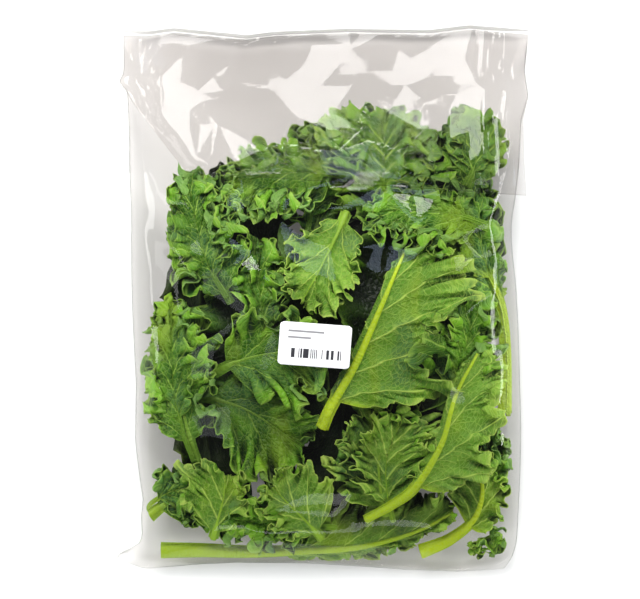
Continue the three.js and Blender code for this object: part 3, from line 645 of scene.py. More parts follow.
# ---------------------------------------------------------------- the film
KEY_PLACE, KEY_SIZE = (-0.1, 1.0, 1.1), (0.95, 0.7)  # of the key light, in metres
FLAP_LEVEL = 0.03  # its height in metres, where the key light is mirrored
FAR_ABOVE = 1000
BODY_BOX, FLAP_BOX = (-150, -195, 150, 190), (-150, 60, 150, 200)  # left, low, right and high
FILM_COLUMNS, FILM_ROWS, FLAP_ROWS = 171, 110, 78  # of each film
CROWDED, CROWD_SHARE = 0.94, 0.35  # part of a sine that crowds columns at the bag's sides, and its share
CALM_SIDES = 0.12  # the share of half the width in which the creases fade out at each side
BEND_ROWS = 10  # round the top fold
PLEAT, PLEATED = (8, 2.2), (108, 118)  # pitch and height of the flap's side pleats, and their start
FLAP_FLAT = 128  # half the width on which the flap's outer film is flat between its creases
FLAP_APART, FLAP_EDGE = 0.3, 0.6  # least height of that film over the lower one, and at its sides
MOUTH_FROM = 0.95  # share of the flap's length from which its two films close
BODY_STEP, FLAP_STEP = 60, 50  # pitch of the facets' corners along the sides of those boxes
CREASES, CREASE_TOP = 4.6, 1.2  # height of the body's creases, and how far they stand out of its form
CREASE_SPREAD, CREASE_TRIES = 19, 1600  # least distance between their corners, and how many are tried
INNER_CREASES, INNER_SPREAD, INNER_TRIES = 0.8, 34, 200  # the same three for the flap's lower film
LABEL_CREASES, LABEL_EASE = 0.25, 12  # of that height, under the sticker, and the width of the change


def facets(points, seed=None, spread=0, count=0, box=None, depth=0):
    """A height function of flat facets between points (x, y, height), with more points strewn over
    the box where a count is given, each at least the spread away from the others."""
    points = list(points)
    if count:
        rng = np.random.RandomState(seed)
        for _ in range(count):
            x, y = rng.uniform(box[0], box[2]), rng.uniform(box[1], box[3])
            if all((x - p[0]) ** 2 + (y - p[1]) ** 2 > spread**2 for p in points):
                points.append((x, y, rng.uniform(0, depth)))
    flat, _, faces, *_ = delaunay_2d_cdt([Vector(p[:2]) for p in points], [], [], 0, 1e-6)
    height = {(round(p[0], 3), round(p[1], 3)): p[2] for p in points}
    corners = [Vector((v.x, v.y, height[(round(v.x, 3), round(v.y, 3))])) for v in flat]
    tree = BVHTree.FromPolygons(corners, faces)
    down = Vector((0, 0, -1))

    def read(x, y):
        starts = [Vector((*place, FAR_ABOVE)) for place in zip(x.ravel(), y.ravel())]
        hits = [tree.ray_cast(start, down)[0] for start in starts]
        return np.array([hit.z if hit else 0.0 for hit in hits]).reshape(x.shape)

    return read


def border(box, step, height=0):
    """Points along the four sides of a box."""
    left, low, right, high = box
    xs, ys = np.arange(left, right + step, step), np.arange(low, high + step, step)
    edge = [(x, y, height) for x in xs for y in (ys[0], ys[-1])]
    return edge + [(x, y, height) for y in ys[1:-1] for x in (xs[0], xs[-1])]


# Outlines, in x and y, of the parts of the flap that mirror the key light to the camera, and of those
# that don't, and the ends of more creases.
LIT_PARTS = [
    [(-119, 139), (-114, 152), (-99, 168), (-98, 151), (-86, 145), (-92, 133), (-93, 121), (-90, 98),
     (-110, 117)],
    [(-82, 158), (-75, 155), (-76, 121), (-88, 99), (-85, 121), (-83, 138)],
    [(-65, 164), (-69, 145), (-72, 121), (-74, 138), (-71, 155)],
    [(-64, 165), (-46, 170), (-51, 146)],
    [(-48, 140), (-33, 145), (-26, 153), (-14, 162), (-7, 178), (16, 187), (20, 176), (19, 152),
     (17, 133), (23, 119), (6, 117), (-17, 126)],
    [(-72, 120), (-57, 113), (-27, 108), (-60, 96)],
    [(54, 175), (62, 167), (71, 173), (81, 166), (74, 155), (68, 140), (67, 130), (46, 130), (46, 151)],
    [(83, 173), (103, 192), (105, 158), (109, 148), (94, 143)],
    [(104, 192), (124, 178), (128, 167), (118, 164), (116, 146), (115, 166)],
    [(71, 136), (85, 142), (124, 145), (122, 130), (89, 133)],
    [(90, 133), (121, 130), (119, 71), (83, 71), (92, 90), (88, 112)],
]
DARK_PARTS = [
    [(-124, 173), (-115, 174), (-114, 153), (-119, 141), (-124, 152)],
    [(-110, 177), (-100, 178), (-98, 173), (-105, 162), (-114, 155)],
    [(-96, 176), (-50, 176), (-65, 166), (-74, 157), (-83, 159)],
    [(-97, 167), (-83, 158), (-86, 145), (-97, 151)],
    [(-86, 144), (-83, 138), (-85, 121), (-89, 99), (-93, 121), (-92, 133)],
    [(-64, 164), (-51, 145), (-48, 139), (-17, 125), (6, 117), (-1, 103), (-27, 109), (-57, 114),
     (-71, 121), (-69, 145)],
    [(-45, 171), (-37, 173), (-49, 144), (-50, 148)],
    [(-32, 176), (-10, 178), (-14, 164), (-26, 155), (-34, 145), (-46, 142)],
    [(21, 174), (35, 159), (46, 151), (46, 131), (24, 120), (17, 133), (21, 149)],
    [(74, 153), (82, 166), (93, 144), (85, 142), (71, 137)],
    [(105, 185), (114, 169), (114, 162), (110, 148), (105, 158)],
    [(118, 163), (127, 166), (125, 146), (116, 146)],
    [(67, 129), (89, 131), (87, 112), (92, 90), (82, 76), (61, 79), (54, 103)],
    [(26, 176), (53, 174), (49, 158), (35, 160)],
    [(-50, 93), (6, 110), (26, 117), (46, 128), (54, 103), (54, 83), (-15, 86), (-50, 88)],
]
CREASE_ENDS = [
    (-109, 135), (-102, 117), (-81, 131), (-1, 149), (-15, 142), (9, 131), (-46, 124), (-22, 166),
    (33, 142), (58, 149), (99, 166), (92, 155), (103, 117), (103, 96), (99, 83), (113, 103),
    (130, 159), (132, 131), (129, 103), (127, 76), (136, 173), (137, 117), (-130, 166), (-133, 145),
    (-119, 183), (-95, 183), (-74, 183), (-53, 181), (-33, 181), (-8, 184), (40, 184), (61, 183),
    (82, 183), (124, 185), (134, 183), (-43, 103), (-15, 96), (12, 103), (33, 110), (44, 90),
    (-78, 93), (71, 117), (75, 96), (68, 76), (-126, 131),
]
LIT_SHOWN, DARK_SHOWN = 0.55, 1.35  # how near to the key light's middle lit and dark parts look
CORNER_GAP = 2.2  # least distance between two corners of facets
CREST_LOW, CREST_HIGH = 1.6, 8  # how far the corners stand off the flap
RIM_LOW, RIM_HIGH = 0.8, 3.2  # the same on its rim
SLOPES_ACROSS, SLOPES_ALONG = np.linspace(-1, 1, 81), np.linspace(-1, 0.6, 65)  # to choose from
FREE_WEIGHT, HOLD = 0.12, 0.02  # how much other parts count, and a pull on every corner's height
START_CREST, HOLD_CREST = 2, 2.5  # how far off the flap the corners start, and where that pull leads
BARRED = 9  # outweighs the distance between any two slopes
LEAST_AREA, MOST_AREA = 10, 400  # a facet counts by its area between these
AIMS, SWEEPS = 14, 25  # how often the facets aim anew, and the heights settle

# The film's uneven outline: how far its top fold and its bottom seam are moved up at x, and its two
# sides to the right at y. Its ends move between these places in y, and its sides by this power.
UNEVEN_TOP, UNEVEN_BOTTOM, UNEVEN_SIDES = (150, 186), (-160, -187), 5
FOLD_LINE = [
    (-140, 0), (-122, -0.5), (-104, 2), (-53, -3), (-34, -0.6), (16, 1.5), (75, 0.6), (103, 4),
    (145, 0.5),
]
BOTTOM_LINE = [
    (-140, 0), (-120, -1), (-84, 2), (-60, 3), (-10, 2.6), (25, 0.5), (60, -2), (95, -3.2),
    (125, -1.5), (133, 0),
]
LEFT_SIDE = [
    (-188, 0), (-160, -1), (-140, 2), (-100, -1), (-60, 1), (40, -1), (110, 1.5), (146, 1),
    (152, -5), (158, -1), (188, 0),
]
RIGHT_SIDE = [
    (-188, 0), (-90, 1.5), (0, -0.5), (70, 1.5), (98, 0), (125, -1), (142, 2.5), (160, -1), (188, 1),
]


def uneven(points, across):
    """Moves the film's outline in and out, and the film beside it less."""
    x, y, z = np.moveaxis(points, -1, 0)
    left, right = np.interp(y, *zip(*LEFT_SIDE)), np.interp(y, *zip(*RIGHT_SIDE))
    near = np.abs(across) ** UNEVEN_SIDES
    out = np.where(across < 0, left, right) * near
    up = np.interp(x, *zip(*FOLD_LINE)) * smooth(*UNEVEN_TOP, y)
    up = up + np.interp(x, *zip(*BOTTOM_LINE)) * smooth(*UNEVEN_BOTTOM, y)
    return np.stack([x + out, y + up, z], -1)


def on_label(x, y):
    """A place's distances from the sticker's middle, along its two sides."""
    cos, sin = np.cos(LABEL_TURN), np.sin(LABEL_TURN)
    x, y = x - LABEL_X, y - LABEL_Y
    return x * cos + y * sin, y * cos - x * sin


def flap_frame(u, f):
    """Where the flap is, at u across it and at a share f of its length, on the bag's front film."""
    left, right = np.moveaxis(through(FLAP_STATIONS, f), -1, 0)
    x = mix(left, right, (u + 1) / 2)
    y = TOP_FOLD - f * mix(FLAP_LEFT, FLAP_RIGHT, (u + 1) / 2)
    limit = mix(1, FLAP_STRAIGHT, smooth(0, 1, 3 * f))
    bag_left, bag_right, _ = bag_at(y)
    over = np.clip(x, bag_left * limit, bag_right * limit)
    return x, y, film_heights(over, y)[0] + FLAP_GAP + FLAP_LIFT * f


def crease_corners():
    """Where the facets of the flap's outer film have their corners, and which of them lie on its rim."""
    share, side = np.linspace(0, 1, 9), np.linspace(-1, 1, 13)
    u = np.concatenate([0 * share - 1, 0 * share + 1, side, side])
    f = np.concatenate([share, share, 0 * side, 0 * side + 1])
    rim_x, rim_y, _ = flap_frame(u, f)
    inner = [place for part in LIT_PARTS + DARK_PARTS for place in part] + CREASE_ENDS
    corners, on_rim = [], []
    for number, place in enumerate(inner + list(zip(rim_x, rim_y))):
        if all(np.hypot(place[0] - x, place[1] - y) > CORNER_GAP for x, y in corners):
            corners.append(place)
            on_rim.append(number >= len(inner))
    return np.array(corners, float), np.array(on_rim)


def within(places, outline):
    """Whether places lie inside an outline: a line to the side crosses it an odd number of times."""
    x, y = places.T
    inside = np.zeros(len(places), bool)
    for (ax, ay), (bx, by) in zip(outline, outline[1:] + outline[:1]):
        passed = (ay > y) != (by > y)
        inside ^= passed & (x < ax + (bx - ax) * (y - ay) / (by - ay or 1))
    return inside


def key_shown(slopes, places):
    """How far from the middle of the key light a slope of the film mirrors to the camera: it shows the
    light below 1."""
    steep = (slopes**2).sum(-1)[..., None]
    ray = np.concatenate([-2 * slopes, 1 - steep], -1) / (1 + steep)
    key = np.array(KEY_PLACE)
    facing = unit(key)
    level = unit(np.cross((0, 0, 1), facing))
    start = np.concatenate([places * MM, FLAP_LEVEL + 0 * places[..., :1]], -1)
    reach = ((key - start) @ facing) / np.maximum(ray @ facing, 0.05)
    off = start + reach[..., None] * ray - key
    wide, high = KEY_SIZE
    return np.maximum(np.abs(off @ level) * 2 / wide, np.abs(off @ np.cross(facing, level)) * 2 / high)


def facet_slopes(corners, faces):
    """The rows that turn the corners' heights into the facets' slopes along x and y, and their areas."""
    a, b, c = np.moveaxis(corners[faces], 1, 0)
    ab, ac = b - a, c - a
    twice = ab[:, 0] * ac[:, 1] - ab[:, 1] * ac[:, 0]
    number = np.arange(len(faces))
    rows = np.zeros((2, len(faces), len(corners)))
    for axis, sign in ((0, 1), (1, -1)):
        other = 1 - axis
        shares = np.stack([ab[:, other] - ac[:, other], ac[:, other], -ab[:, other]], 1)
        rows[axis, number[:, None], faces] = sign * shares / twice[:, None]
    return rows, np.abs(twice) / 2


def settle(rows, goals, low, high, heights):
    """Heights between limits that meet the goals best: each in turn takes its best value."""
    square, side = rows.T @ rows, rows.T @ goals
    for _ in range(SWEEPS):
        for i in range(len(heights)):
            best = heights[i] + (side[i] - square[i] @ heights) / square[i, i]
            heights[i] = min(max(best, low[i]), high[i])
    return heights


def crease_heights(corners, on_rim, faces, rest):
    """Heights for the corners, so that the flap's lit parts mirror the key light and its dark parts
    don't. rest: the flap's own height at each corner."""
    rows, areas = facet_slopes(corners, faces)
    middles = corners[faces].mean(1)
    lit = np.any([within(middles, part) for part in LIT_PARTS], 0)
    dark = np.any([within(middles, part) for part in DARK_PARTS], 0)
    grid = np.stack(np.meshgrid(SLOPES_ACROSS, SLOPES_ALONG), -1).reshape(1, -1, 2)
    shown = key_shown(grid, middles[:, None])
    barred = np.where(lit[:, None], shown > LIT_SHOWN, shown < DARK_SHOWN) * BARRED
    free = ~lit & ~dark
    weight = np.sqrt(np.clip(areas, LEAST_AREA, MOST_AREA)) * np.where(free, FREE_WEIGHT, 1)
    low = rest + np.where(on_rim, RIM_LOW, CREST_LOW)
    high = rest + np.where(on_rim, RIM_HIGH, CREST_HIGH)
    own, heights = (rows @ rest).T, rest + START_CREST
    for _ in range(AIMS):
        now = (rows @ heights).T
        nearest = ((grid - now[:, None]) ** 2).sum(-1) + barred
        goal = np.where(free[:, None], own, grid[0][nearest.argmin(1)])
        sums = np.concatenate([*(rows * weight[:, None]), HOLD * np.eye(len(rest))])
        goals = np.concatenate([*(goal.T * weight), HOLD * (rest + HOLD_CREST)])
        heights = settle(sums, goals, low, high, heights)
    return heights


def body_creases():
    """A function of x and y for the creases of the bag's front film, which lie low under the sticker."""
    start = border(BODY_BOX, BODY_STEP)
    rumple = facets(start, 4, CREASE_SPREAD, CREASE_TRIES, BODY_BOX, CREASES)

    def read(x, y):
        across, up = on_label(x, y)
        off = np.maximum(np.abs(across) - LABEL_WIDTH / 2, np.abs(up) - LABEL_HEIGHT / 2)
        share = mix(LABEL_CREASES, 1, smooth(0, LABEL_EASE, off))
        return (rumple(x, y) - CREASES + CREASE_TOP) * share

    return read


def body_films(across, inward, rumple):
    """The bag's front film and its back film, as grids of points from the bottom seam to the fold."""
    y = np.linspace(BAG_STATIONS[0][0], TOP_FOLD, FILM_ROWS)[:, None]
    left, right, _ = bag_at(y)
    x = mix(left, right, (across[None, :] + 1) / 2)
    y = y + 0 * x
    front, back = film_heights(x, y)
    front = front + inward * rumple(x, y)
    back = back + inward * (1 + 0.4 * rumple(-x, y))
    return np.stack([x, y, front], -1), np.stack([x, y, back], -1)


def flap_films(across, inward):
    """The flap's lower film and its creased outer film, from the fold to the mouth."""
    f = np.linspace(0, 1, FLAP_ROWS)[:, None]
    x, y, rest = flap_frame(across[None, :], f + 0 * across[None, :])
    corners, on_rim = crease_corners()
    apart = corners[:, :, None] - np.stack([x.ravel(), y.ravel()])
    nearest = (apart**2).sum(1).argmin(1)
    _, _, faces, *_ = delaunay_2d_cdt([Vector(place) for place in corners], [], [], 0, 1e-6)
    heights = crease_heights(corners, on_rim, np.array(faces), rest.ravel()[nearest])
    crease = facets([*zip(*corners.T, heights), *border(FLAP_BOX, FLAP_STEP, 30)])
    start = border(FLAP_BOX, FLAP_STEP)
    inner = facets(start, 6, INNER_SPREAD, INNER_TRIES, FLAP_BOX, INNER_CREASES)
    low = rest + inward * inner(x, y)
    close = smooth(1, MOUTH_FROM, f)
    pleats = PLEAT[1] * np.abs(2 * (x / PLEAT[0] % 1) - 1) * smooth(*PLEATED, np.abs(x))
    high = mix(rest + FLAP_EDGE, crease(x, y) + pleats, inward * close)
    high = np.maximum(low + FLAP_APART, high)
    return np.stack([x, y, low], -1), np.stack([x, y, high], -1)


def bend(start, end, reach):
    """Rows of film round a bend from one row of points to another, which stands out by reach."""
    turn = np.linspace(0, np.pi, BEND_ROWS + 2)[1:-1, None, None]
    level = mix(start[None], end[None], (1 - np.cos(turn)) / 2)
    level[..., 1:2] += reach * np.sin(turn)
    return level


def add_bag(outer, inner_film):
    """The film as one closed skin: rings round both films from the bottom seam to the top fold, then
    round the flap's two films down to its mouth, where they lie together. It gives back the body's
    creases."""
    even = np.linspace(-1, 1, FILM_COLUMNS)
    crowded = np.sin(even * np.pi / 2 * CROWDED) / np.sin(np.pi / 2 * CROWDED)
    across = mix(even, crowded, CROWD_SHARE)
    inward = smooth(0, CALM_SIDES, 1 - np.abs(across))[None, :]
    rumple = body_creases()
    body_front, body_back = body_films(across, inward, rumple)
    flap_low, flap_high = flap_films(across, inward)
    inner_bend = bend(body_front[-1], flap_low[0], FLAP_GAP / 2)
    outer_bend = bend(body_back[-1], flap_high[0], FOLD_REACH)
    fronts = np.concatenate([body_front, inner_bend, flap_low])
    backs = np.concatenate([body_back, outer_bend, flap_high])
    rings = np.concatenate([uneven(fronts, across), uneven(backs, across)[:, ::-1]], axis=1)
    rows, count = rings.shape[:2]
    sides = grid_faces(rows, count, around=True)
    half = count // 2
    j = np.arange(half - 1)
    far = count - 1 - j
    seam = np.stack([j + 1, j, far, far - 1], -1)
    mouth = np.stack([j, j + 1, far - 1, far], -1) + (rows - 1) * count
    # Films that lie on another one mirror less: the flap's lower film, and the bag's under the flap.
    ring, column = np.divmod(np.arange(len(sides)), count)
    covered = (ring >= len(body_front)) | (rings[ring, column, 1] > TOP_FOLD - FLAP_LEFT)
    kind = np.concatenate([(column < half) & covered, np.zeros(len(seam) + len(mouth))])
    piece = make_mesh(
        "film_bag", rings, np.concatenate([sides, seam, mouth]), [outer, inner_film], kind
    )
    # The flap's outer film is flat between its creases, and the rest is rounded.
    flat = (ring >= len(body_front) + BEND_ROWS) & (column >= half)
    flat &= np.abs(rings[ring, column, 0]) < FLAP_FLAT
    rounded = np.concatenate([~flat, np.ones(len(seam) + len(mouth), bool)])
    piece.data.polygons.foreach_set("use_smooth", rounded)
    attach(piece, "root")
    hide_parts("bag")
    return rumple


def add_label(surface, rumple):
    """The sticker: a thin sheet with rounded corners that follows the front film."""
    rows, columns = LABEL_GRID
    v = np.linspace(0, LABEL_HEIGHT, rows)
    into = LABEL_CORNER - np.minimum(LABEL_CORNER, np.minimum(v, LABEL_HEIGHT - v))
    narrow = LABEL_CORNER - np.sqrt(LABEL_CORNER**2 - into**2)
    across = (LABEL_WIDTH / 2 - narrow)[:, None] * np.linspace(-1, 1, columns)[None, :]
    up = (v - LABEL_HEIGHT / 2)[:, None] + 0 * across
    cos, sin = np.cos(LABEL_TURN), np.sin(LABEL_TURN)
    x = LABEL_X + across * cos - up * sin
    y = LABEL_Y + across * sin + up * cos
    z = film_heights(x, y)[0] + rumple(x, y) + LABEL_RISE
    half = LABEL_THICK / 2 + 0 * x
    points, faces, _ = skin(np.stack([x, y, z], -1), half, half)
    piece = make_mesh("sticker", points, faces, [surface])
    store(piece, "across", [across])
    store(piece, "up", [up])
    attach(piece, "root")
    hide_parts("label")


# ---------------------------------------------------------------- materials
VEIN_TINT = (1.5, 0.45)  # half width of a lateral vein's colour, at the rib and at the margin
BRANCH_STEP, BRANCH_TINT = 6.5, 0.55  # pitch and half width of the side veins
BRANCH_SLANT = 1.1  # how far out they run for each millimetre off the lateral vein
NET_SCALE = 0.3  # cells of the fine net to a millimetre
PACK_SHADE_FROM, PACK_SHADE_TO = 13.0, 29.0  # how far below the front film the painted shade of the pack starts, and where it is full
BARS_PER_MM = 1.55  # places for a bar, drawn or left out


class Graph:
    """A material's node tree, with short calls for what this script builds."""

    def __init__(self, name):
        self.material = bpy.data.materials.new(name)
        self.material.use_nodes = True
        self.tree = self.material.node_tree
        self.tree.nodes.clear()

    def add(self, kind, inputs=None, **settings):
        node = self.tree.nodes.new(kind)
        for key, value in settings.items():
            setattr(node, key, value)
        for key, value in (inputs or {}).items():
            if isinstance(value, bpy.types.NodeSocket):
                self.tree.links.new(value, node.inputs[key])
            else:
                node.inputs[key].default_value = value
        return node

    def math(self, operation, *values):
        return self.add("ShaderNodeMath", dict(enumerate(values)), operation=operation).outputs[0]

    def times(self, a, b):
        return self.math("MULTIPLY", a, b)

    def plus(self, a, b):
        return self.math("ADD", a, b)

    def most(self, a, b):
        return self.math("MAXIMUM", a, b)

    def read(self, name):
        return self.add("ShaderNodeAttribute", attribute_name=name).outputs["Fac"]

    def range(self, value, low, high, start=0.0, end=1.0):
        """From start, where the value is low, evenly to end, where it is high, and level beyond."""
        inputs = {"Value": value, "From Min": low, "From Max": high, "To Min": start, "To Max": end}
        return self.add("ShaderNodeMapRange", inputs, interpolation_type="SMOOTHSTEP").outputs[0]

    def blend(self, factor, first, second):
        inputs = {0: factor, 6: first, 7: second}
        return self.add("ShaderNodeMix", inputs, data_type="RGBA").outputs[2]

    def noise(self, scale, detail=3.0, stretch=(1, 1, 1)):
        place = self.add("ShaderNodeTexCoord").outputs["Object"]
        mapped = self.add("ShaderNodeMapping", {"Vector": place, "Scale": stretch}).outputs[0]
        inputs = {"Vector": mapped, "Scale": scale, "Detail": detail}
        return self.add("ShaderNodeTexNoise", inputs).outputs[0]

    def bump(self, height, strength, distance):
        inputs = {"Height": height, "Strength": strength, "Distance": distance}
        return self.add("ShaderNodeBump", inputs).outputs[0]

    def output(self, shader):
        self.add("ShaderNodeOutputMaterial", {"Surface": shader})
        return self.material


def colour(red, green, blue):
    """A colour given as it looks on a screen, from 0 to 255, as the shader's linear values."""
    linear = lambda v: v / 12.92 if v <= 0.04045 else ((v + 0.055) / 1.055) ** 2.4
    return (*[linear(v / 255) for v in (red, green, blue)], 1)


def leaf_material(name, blade, pale_blade_and_highlight, vein, rib, bump, roughness, rib_shows):
    """Blade with its midrib, lateral veins, side veins that leave them at a slant, and fine net, with
    painted highlight on the curls' crests and toward the margin, and painted shade in their valleys and
    deep in the pack.
    bump: how far the veins stand out. rib_shows: how far up its bulge the rib's own colour starts."""
    g = Graph(name)
    # Where the midrib and the bare stalk show.
    bulge, edge = g.read("rib"), g.read("edge")
    on_rib = g.range(bulge, rib_shows - 0.1, rib_shows + 0.1, 0.0, 1.0 if rib_shows < 0.5 else 0.3)
    bare = g.times(g.read("stalk"), g.range(g.read("lime"), 0.25, 1.0, 0.55, 1.0))
    on_rib = g.most(on_rib, bare)
    # Lateral veins, the side veins that leave them, and the net between.
    distance, along = g.read("distance"), g.read("along")
    off = g.times(g.math("PINGPONG", g.read("lateral"), 0.5), g.read("span"))
    wide = g.range(edge, 0.0, 1.0, *VEIN_TINT)
    lateral = g.range(off, wide, 0.0)
    fan = g.math("SUBTRACT", distance, g.times(off, BRANCH_SLANT))
    slant = g.times(g.math("PINGPONG", g.math("DIVIDE", fan, BRANCH_STEP), 0.5), BRANCH_STEP)
    branch = g.range(slant, BRANCH_TINT, 0.0)
    place = {"X": along, "Y": distance, "Z": g.read("lateral")}
    flat = g.add("ShaderNodeCombineXYZ", place).outputs[0]
    cells = {"Vector": flat, "Scale": NET_SCALE}
    net = g.add("ShaderNodeTexVoronoi", cells, feature="DISTANCE_TO_EDGE").outputs["Distance"]
    mesh = g.range(net, 0.1, 0.0)
    veins = g.most(lateral, g.most(g.times(branch, 0.5), g.times(mesh, 0.4)))
    veins = g.times(veins, g.math("SUBTRACT", 1.0, on_rib))
    # The blade: lighter in random patches, with painted highlight toward the margin and on the curls'
    # crests, bluish and yellowish in places.
    patches = g.range(g.noise(38.0, 4.0), 0.35, 0.68)
    # Painted highlight: lighter toward the margin and where the curls lift the blade.
    painted_margin_highlight = g.times(g.range(edge, 0.6, 1.0), 0.7)
    crest = g.range(g.read("crest"), -2.0, 5.0)
    patches_and_painted_highlight = g.most(g.times(patches, 0.45), painted_margin_highlight)
    patches_and_painted_highlight = g.plus(patches_and_painted_highlight, crest)
    patches_and_painted_highlight = g.times(patches_and_painted_highlight, g.range(g.read("tone"), -0.7, 0.7, 0.5, 1.2))
    base = g.blend(patches_and_painted_highlight, blade, pale_blade_and_highlight)
    cool = g.range(g.noise(31.0, 2.0), 0.45, 0.7, 0.0, 0.6)
    base = g.blend(cool, base, colour(84, 126, 82))
    warm = g.range(g.noise(17.0, 2.0, (3, 1, 2)), 0.5, 0.72, 0.0, 0.4)
    base = g.blend(warm, base, colour(168, 196, 40))
    # Painted shade: nearly black where the curls sink the blade.
    painted_valley_shade = g.range(g.read("crest"), 1.0, -4.5, 0.0, 0.85)
    base = g.blend(painted_valley_shade, base, colour(7, 27, 4))
    # Painted highlight: the outermost rim of the margin turns to the pale vein colour.
    rim = g.times(g.range(edge, 0.9, 1.0), 0.7)
    base = g.blend(rim, base, vein)
    base = g.blend(g.times(veins, 0.85), base, vein)
    # The rib and the stalk, as pale as the leaf's own value says.
    streak = g.range(g.noise(700.0, 2.0), 0.3, 0.7)
    stem = g.blend(g.times(streak, 0.4), rib, vein)
    stem = g.blend(g.read("lime"), g.blend(0.6, blade, pale_blade_and_highlight), stem)
    base = g.blend(on_rib, base, stem)
    # Painted shade: the deeper below the front film, the darker, as if the pack above shaded it.
    painted_depth_shade = g.range(g.read("depth"), PACK_SHADE_FROM, PACK_SHADE_TO, 0.0, 0.94)
    base = g.blend(painted_depth_shade, base, colour(9, 20, 5))
    # Fine relief, and the gloss.
    fine, blisters = g.noise(900.0, 3.0), g.noise(240.0, 2.0)
    relief = g.plus(g.times(veins, bump), g.times(fine, 0.3))
    relief = g.plus(relief, g.times(blisters, 2.0))
    relief = g.plus(relief, g.times(g.range(net, 0.0, 0.32), 0.9 if bump < 0 else -0.5))
    normal = g.bump(relief, 0.6, 0.0009)
    shine = g.range(g.noise(120.0, 3.0), 0.3, 0.7, roughness - 0.08, roughness + 0.1)
    shader = g.add("ShaderNodeBsdfPrincipled", {
        "Base Color": base,
        "Roughness": shine,
        "Normal": normal,
        "Specular IOR Level": 0.35,
        "Subsurface Weight": 0.12,
        "Subsurface Radius": (0.6, 1.0, 0.2),
        "Subsurface Scale": 0.0015,
    })
    return g.output(shader.outputs[0])


def film_material(name, gloss):
    """Clear film: it lets light through and mirrors the studio by its slope, with faint haze."""
    g = Graph(name)
    wrinkle = g.plus(g.noise(60.0, 2.0), g.times(g.noise(260.0, 2.0), 0.15))
    normal = g.bump(wrinkle, 0.035, 0.002)
    mirror = g.add("ShaderNodeBsdfGlossy", {"Color": (1, 1, 1, 1), "Roughness": 0.025, "Normal": normal})
    haze = g.add("ShaderNodeBsdfDiffuse", {"Color": colour(225, 225, 228), "Normal": normal})
    soft = g.range(g.noise(22.0, 3.0), 0.3, 0.75, 0.0006, 0.003)
    glance = g.add("ShaderNodeFresnel", {"IOR": 1.5, "Normal": normal}).outputs[0]
    tint = g.blend(g.range(glance, 0.05, 0.4), (0.925, 0.917, 0.912, 1), (0.72, 0.71, 0.7, 1))
    clear = g.add("ShaderNodeBsdfTransparent", {"Color": tint})
    body = g.add("ShaderNodeMixShader", {0: soft, 1: clear.outputs[0], 2: haze.outputs[0]})
    mirrored = g.times(glance, gloss)
    shader = g.add("ShaderNodeMixShader", {0: mirrored, 1: body.outputs[0], 2: mirror.outputs[0]})
    return g.output(shader.outputs[0])


def paper_material():
    """White sticker paper with plain print: two grey lines and a row of bars, drawn at random."""
    g = Graph("sticker_paper")
    across, up = g.read("across"), g.read("up")
    def band(value, low, high, soft=0.12):
        start = g.range(value, low - soft, low + soft)
        return g.times(start, g.range(value, high + soft, high - soft))
    column = {"W": g.plus(g.math("FLOOR", g.times(across, BARS_PER_MM)), 17.0)}
    draw = g.add("ShaderNodeTexWhiteNoise", column, noise_dimensions="1D").outputs[0]
    inked = g.math("GREATER_THAN", draw, 0.5)
    bars = g.times(inked, g.times(band(up, -9.5, -3.0), band(across, -17.0, 19.0)))
    line_1 = g.times(band(up, 8.2, 9.6), band(across, -19.0, 6.0))
    line_2 = g.times(band(up, 3.8, 5.2), band(across, -19.0, -3.0))
    ink = g.most(bars, g.times(g.most(line_1, line_2), 0.75))
    fibre = g.noise(1500.0, 4.0)
    paper = g.blend(fibre, colour(226, 227, 230), colour(236, 236, 238))
    base = g.blend(ink, paper, colour(38, 38, 44))
    normal = g.bump(fibre, 0.15, 0.0002)
    shader = g.add("ShaderNodeBsdfPrincipled", {"Base Color": base, "Roughness": 0.55, "Normal": normal})
    return g.output(shader.outputs[0])


def floor_material():
    """A pale floor that gives off a little light of its own, so that it stays as pale under the film."""
    g = Graph("pale_floor")
    base = g.blend(g.noise(6.0, 3.0), colour(236, 236, 236), colour(240, 240, 240))
    shader = g.add("ShaderNodeBsdfPrincipled", {
        "Base Color": base,
        "Roughness": 0.8,
        "Specular IOR Level": 0.1,
        "Emission Color": (1.0, 0.985, 0.975, 1),
        "Emission Strength": 0.1,
    })
    return g.output(shader.outputs[0])


# ---------------------------------------------------------------- the set
IMAGE_WIDTH = 640  # pixels, of the picture that the camera matches
MM_PER_PIXEL = 0.694  # at the height of the sticker
VIEW_CENTRE = (-1.4, -0.35)  # where the picture's middle falls
CAMERA_HEIGHT = 5000  # over the sticker
LABEL_LEVEL = 61
SENSOR = 36  # the camera's, across
CLIP_END = 50  # metres
FLOOR_HALF, FLOOR_LEVEL, FLOOR_GRID = 2500, -0.3, 9


def add_floor():
    side = np.linspace(-FLOOR_HALF, FLOOR_HALF, FLOOR_GRID)
    x, y = np.meshgrid(side, side, indexing="ij")
    points, faces = np.stack([x, y, 0 * x + FLOOR_LEVEL], -1), grid_faces(FLOOR_GRID, FLOOR_GRID)
    floor = make_mesh("floor", points, faces, [floor_material()])


def add_camera():
    """A long lens straight above the bag, as the photograph's."""
    data = bpy.data.cameras.new("camera")
    data.sensor_width = SENSOR
    data.lens = SENSOR * CAMERA_HEIGHT / (IMAGE_WIDTH * MM_PER_PIXEL)
    data.clip_end = CLIP_END
    camera = bpy.data.objects.new("camera", data)
    camera.location = [v * MM for v in (*VIEW_CENTRE, CAMERA_HEIGHT + LABEL_LEVEL)]
    bpy.context.scene.collection.objects.link(camera)
    bpy.context.scene.camera = camera


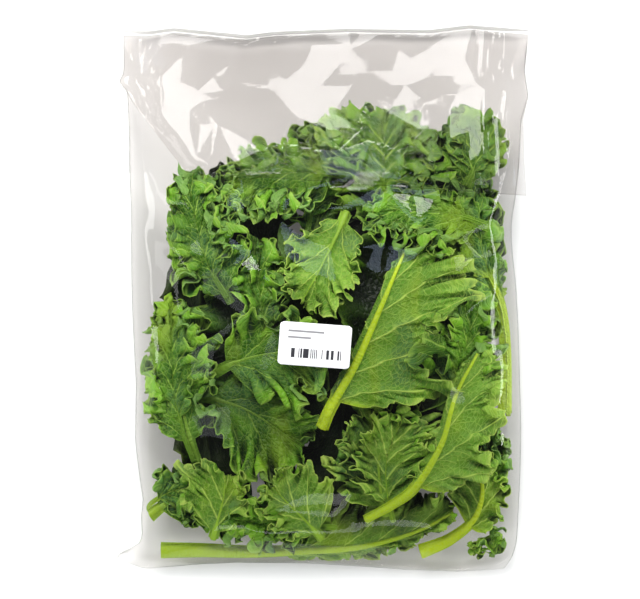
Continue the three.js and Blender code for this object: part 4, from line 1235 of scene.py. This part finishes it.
def add_light(name, place, size, power, tint=(1, 1, 1), mirrored=True):
    """A rectangular softbox, given in metres, that faces the middle of the bag. mirrored: whether it
    shows in glossy surfaces."""
    data = bpy.data.lights.new(name, "AREA")
    data.shape = "RECTANGLE"
    data.size, data.size_y = size
    data.energy = power
    data.color = tint
    light = bpy.data.objects.new(name, data)
    light.location = place
    light.visible_glossy = mirrored
    light.rotation_mode = "QUATERNION"
    light.rotation_quaternion = (-Vector(place)).to_track_quat("-Z", "Y")
    bpy.context.scene.collection.objects.link(light)


def add_studio():
    """Soft light: the key light, which the flap mirrors, large softboxes that don't show in the film,
    and narrow lights that do."""
    world = bpy.data.worlds.new("studio")
    world.use_nodes = True
    back = world.node_tree.nodes["Background"]
    back.inputs["Color"].default_value = (0.95, 0.98, 1.0, 1)
    back.inputs["Strength"].default_value = 0.07
    bpy.context.scene.world = world
    bpy.context.scene.view_settings.view_transform = "Standard"
    add_light("key", KEY_PLACE, KEY_SIZE, 28, (1.0, 0.99, 0.97))
    add_light("left", (-1.3, 0.3, 0.6), (1.2, 1.1), 14.5, (1.0, 0.99, 0.97), mirrored=False)
    add_light("right", (1.3, 0.1, 0.6), (1.3, 1.2), 16, mirrored=False)
    add_light("low", (-0.2, -1.35, 0.72), (0.9, 0.5), 10, (0.97, 0.99, 1.0), mirrored=False)
    add_light("left_strip", (-1.25, 0.25, 0.85), (0.1, 0.9), 1.1)
    add_light("right_strip", (1.25, 0.1, 0.8), (0.1, 0.9), 1.1)
    add_light("low_strip", (-0.1, -1.3, 0.8), (0.7, 0.1), 0.8)
    add_light("left_edge", (-1.25, 0.2, 0.22), (0.6, 0.12), 2)
    add_light("right_edge", (1.25, 0.15, 0.22), (0.6, 0.12), 3)
    add_light("window", (0.22, 0.53, 1.3), (0.4, 0.28), 1.3, (0.62, 0.76, 1.0))
    add_light("pale_wall", (-0.62, -0.1, 1.2), (0.3, 0.6), 1, (0.9, 0.95, 1.0))


# ---------------------------------------------------------------- the whole
# The leaves' surfaces: colours of the blade, its lighter patches and painted highlights, its veins and
# its rib, then how far the veins stand out, roughness, and how far up its bulge the rib's own colour
# starts.
FACES = {
    "upper": [(28, 86, 10), (128, 188, 44), (172, 212, 88), (186, 212, 50), -0.7, 0.46, 0.86],
    "under": [(102, 156, 44), (152, 198, 74), (204, 234, 108), (202, 228, 24), 1.0, 0.55, 0.3],
    # The margin row is the under side again in darker colours, for the lower faces of leaves lying upper
    # side up: painted shade.
    "margin": [(78, 132, 40), (124, 170, 76), (150, 192, 100), (186, 212, 90), 1.0, 0.55, 0.3],
}

add_camera()
add_studio()
add_floor()
surfaces = {
    side: leaf_material("leaf_" + side, *[colour(*tone) for tone in looks[:4]], *looks[4:])
    for side, looks in FACES.items()
}
for leaf in LEAVES:
    add_leaf(leaf, surfaces)
rumple = add_bag(film_material("clear_film", 0.5), film_material("clear_film_inner", 0.04))
add_label(paper_material(), rumple)
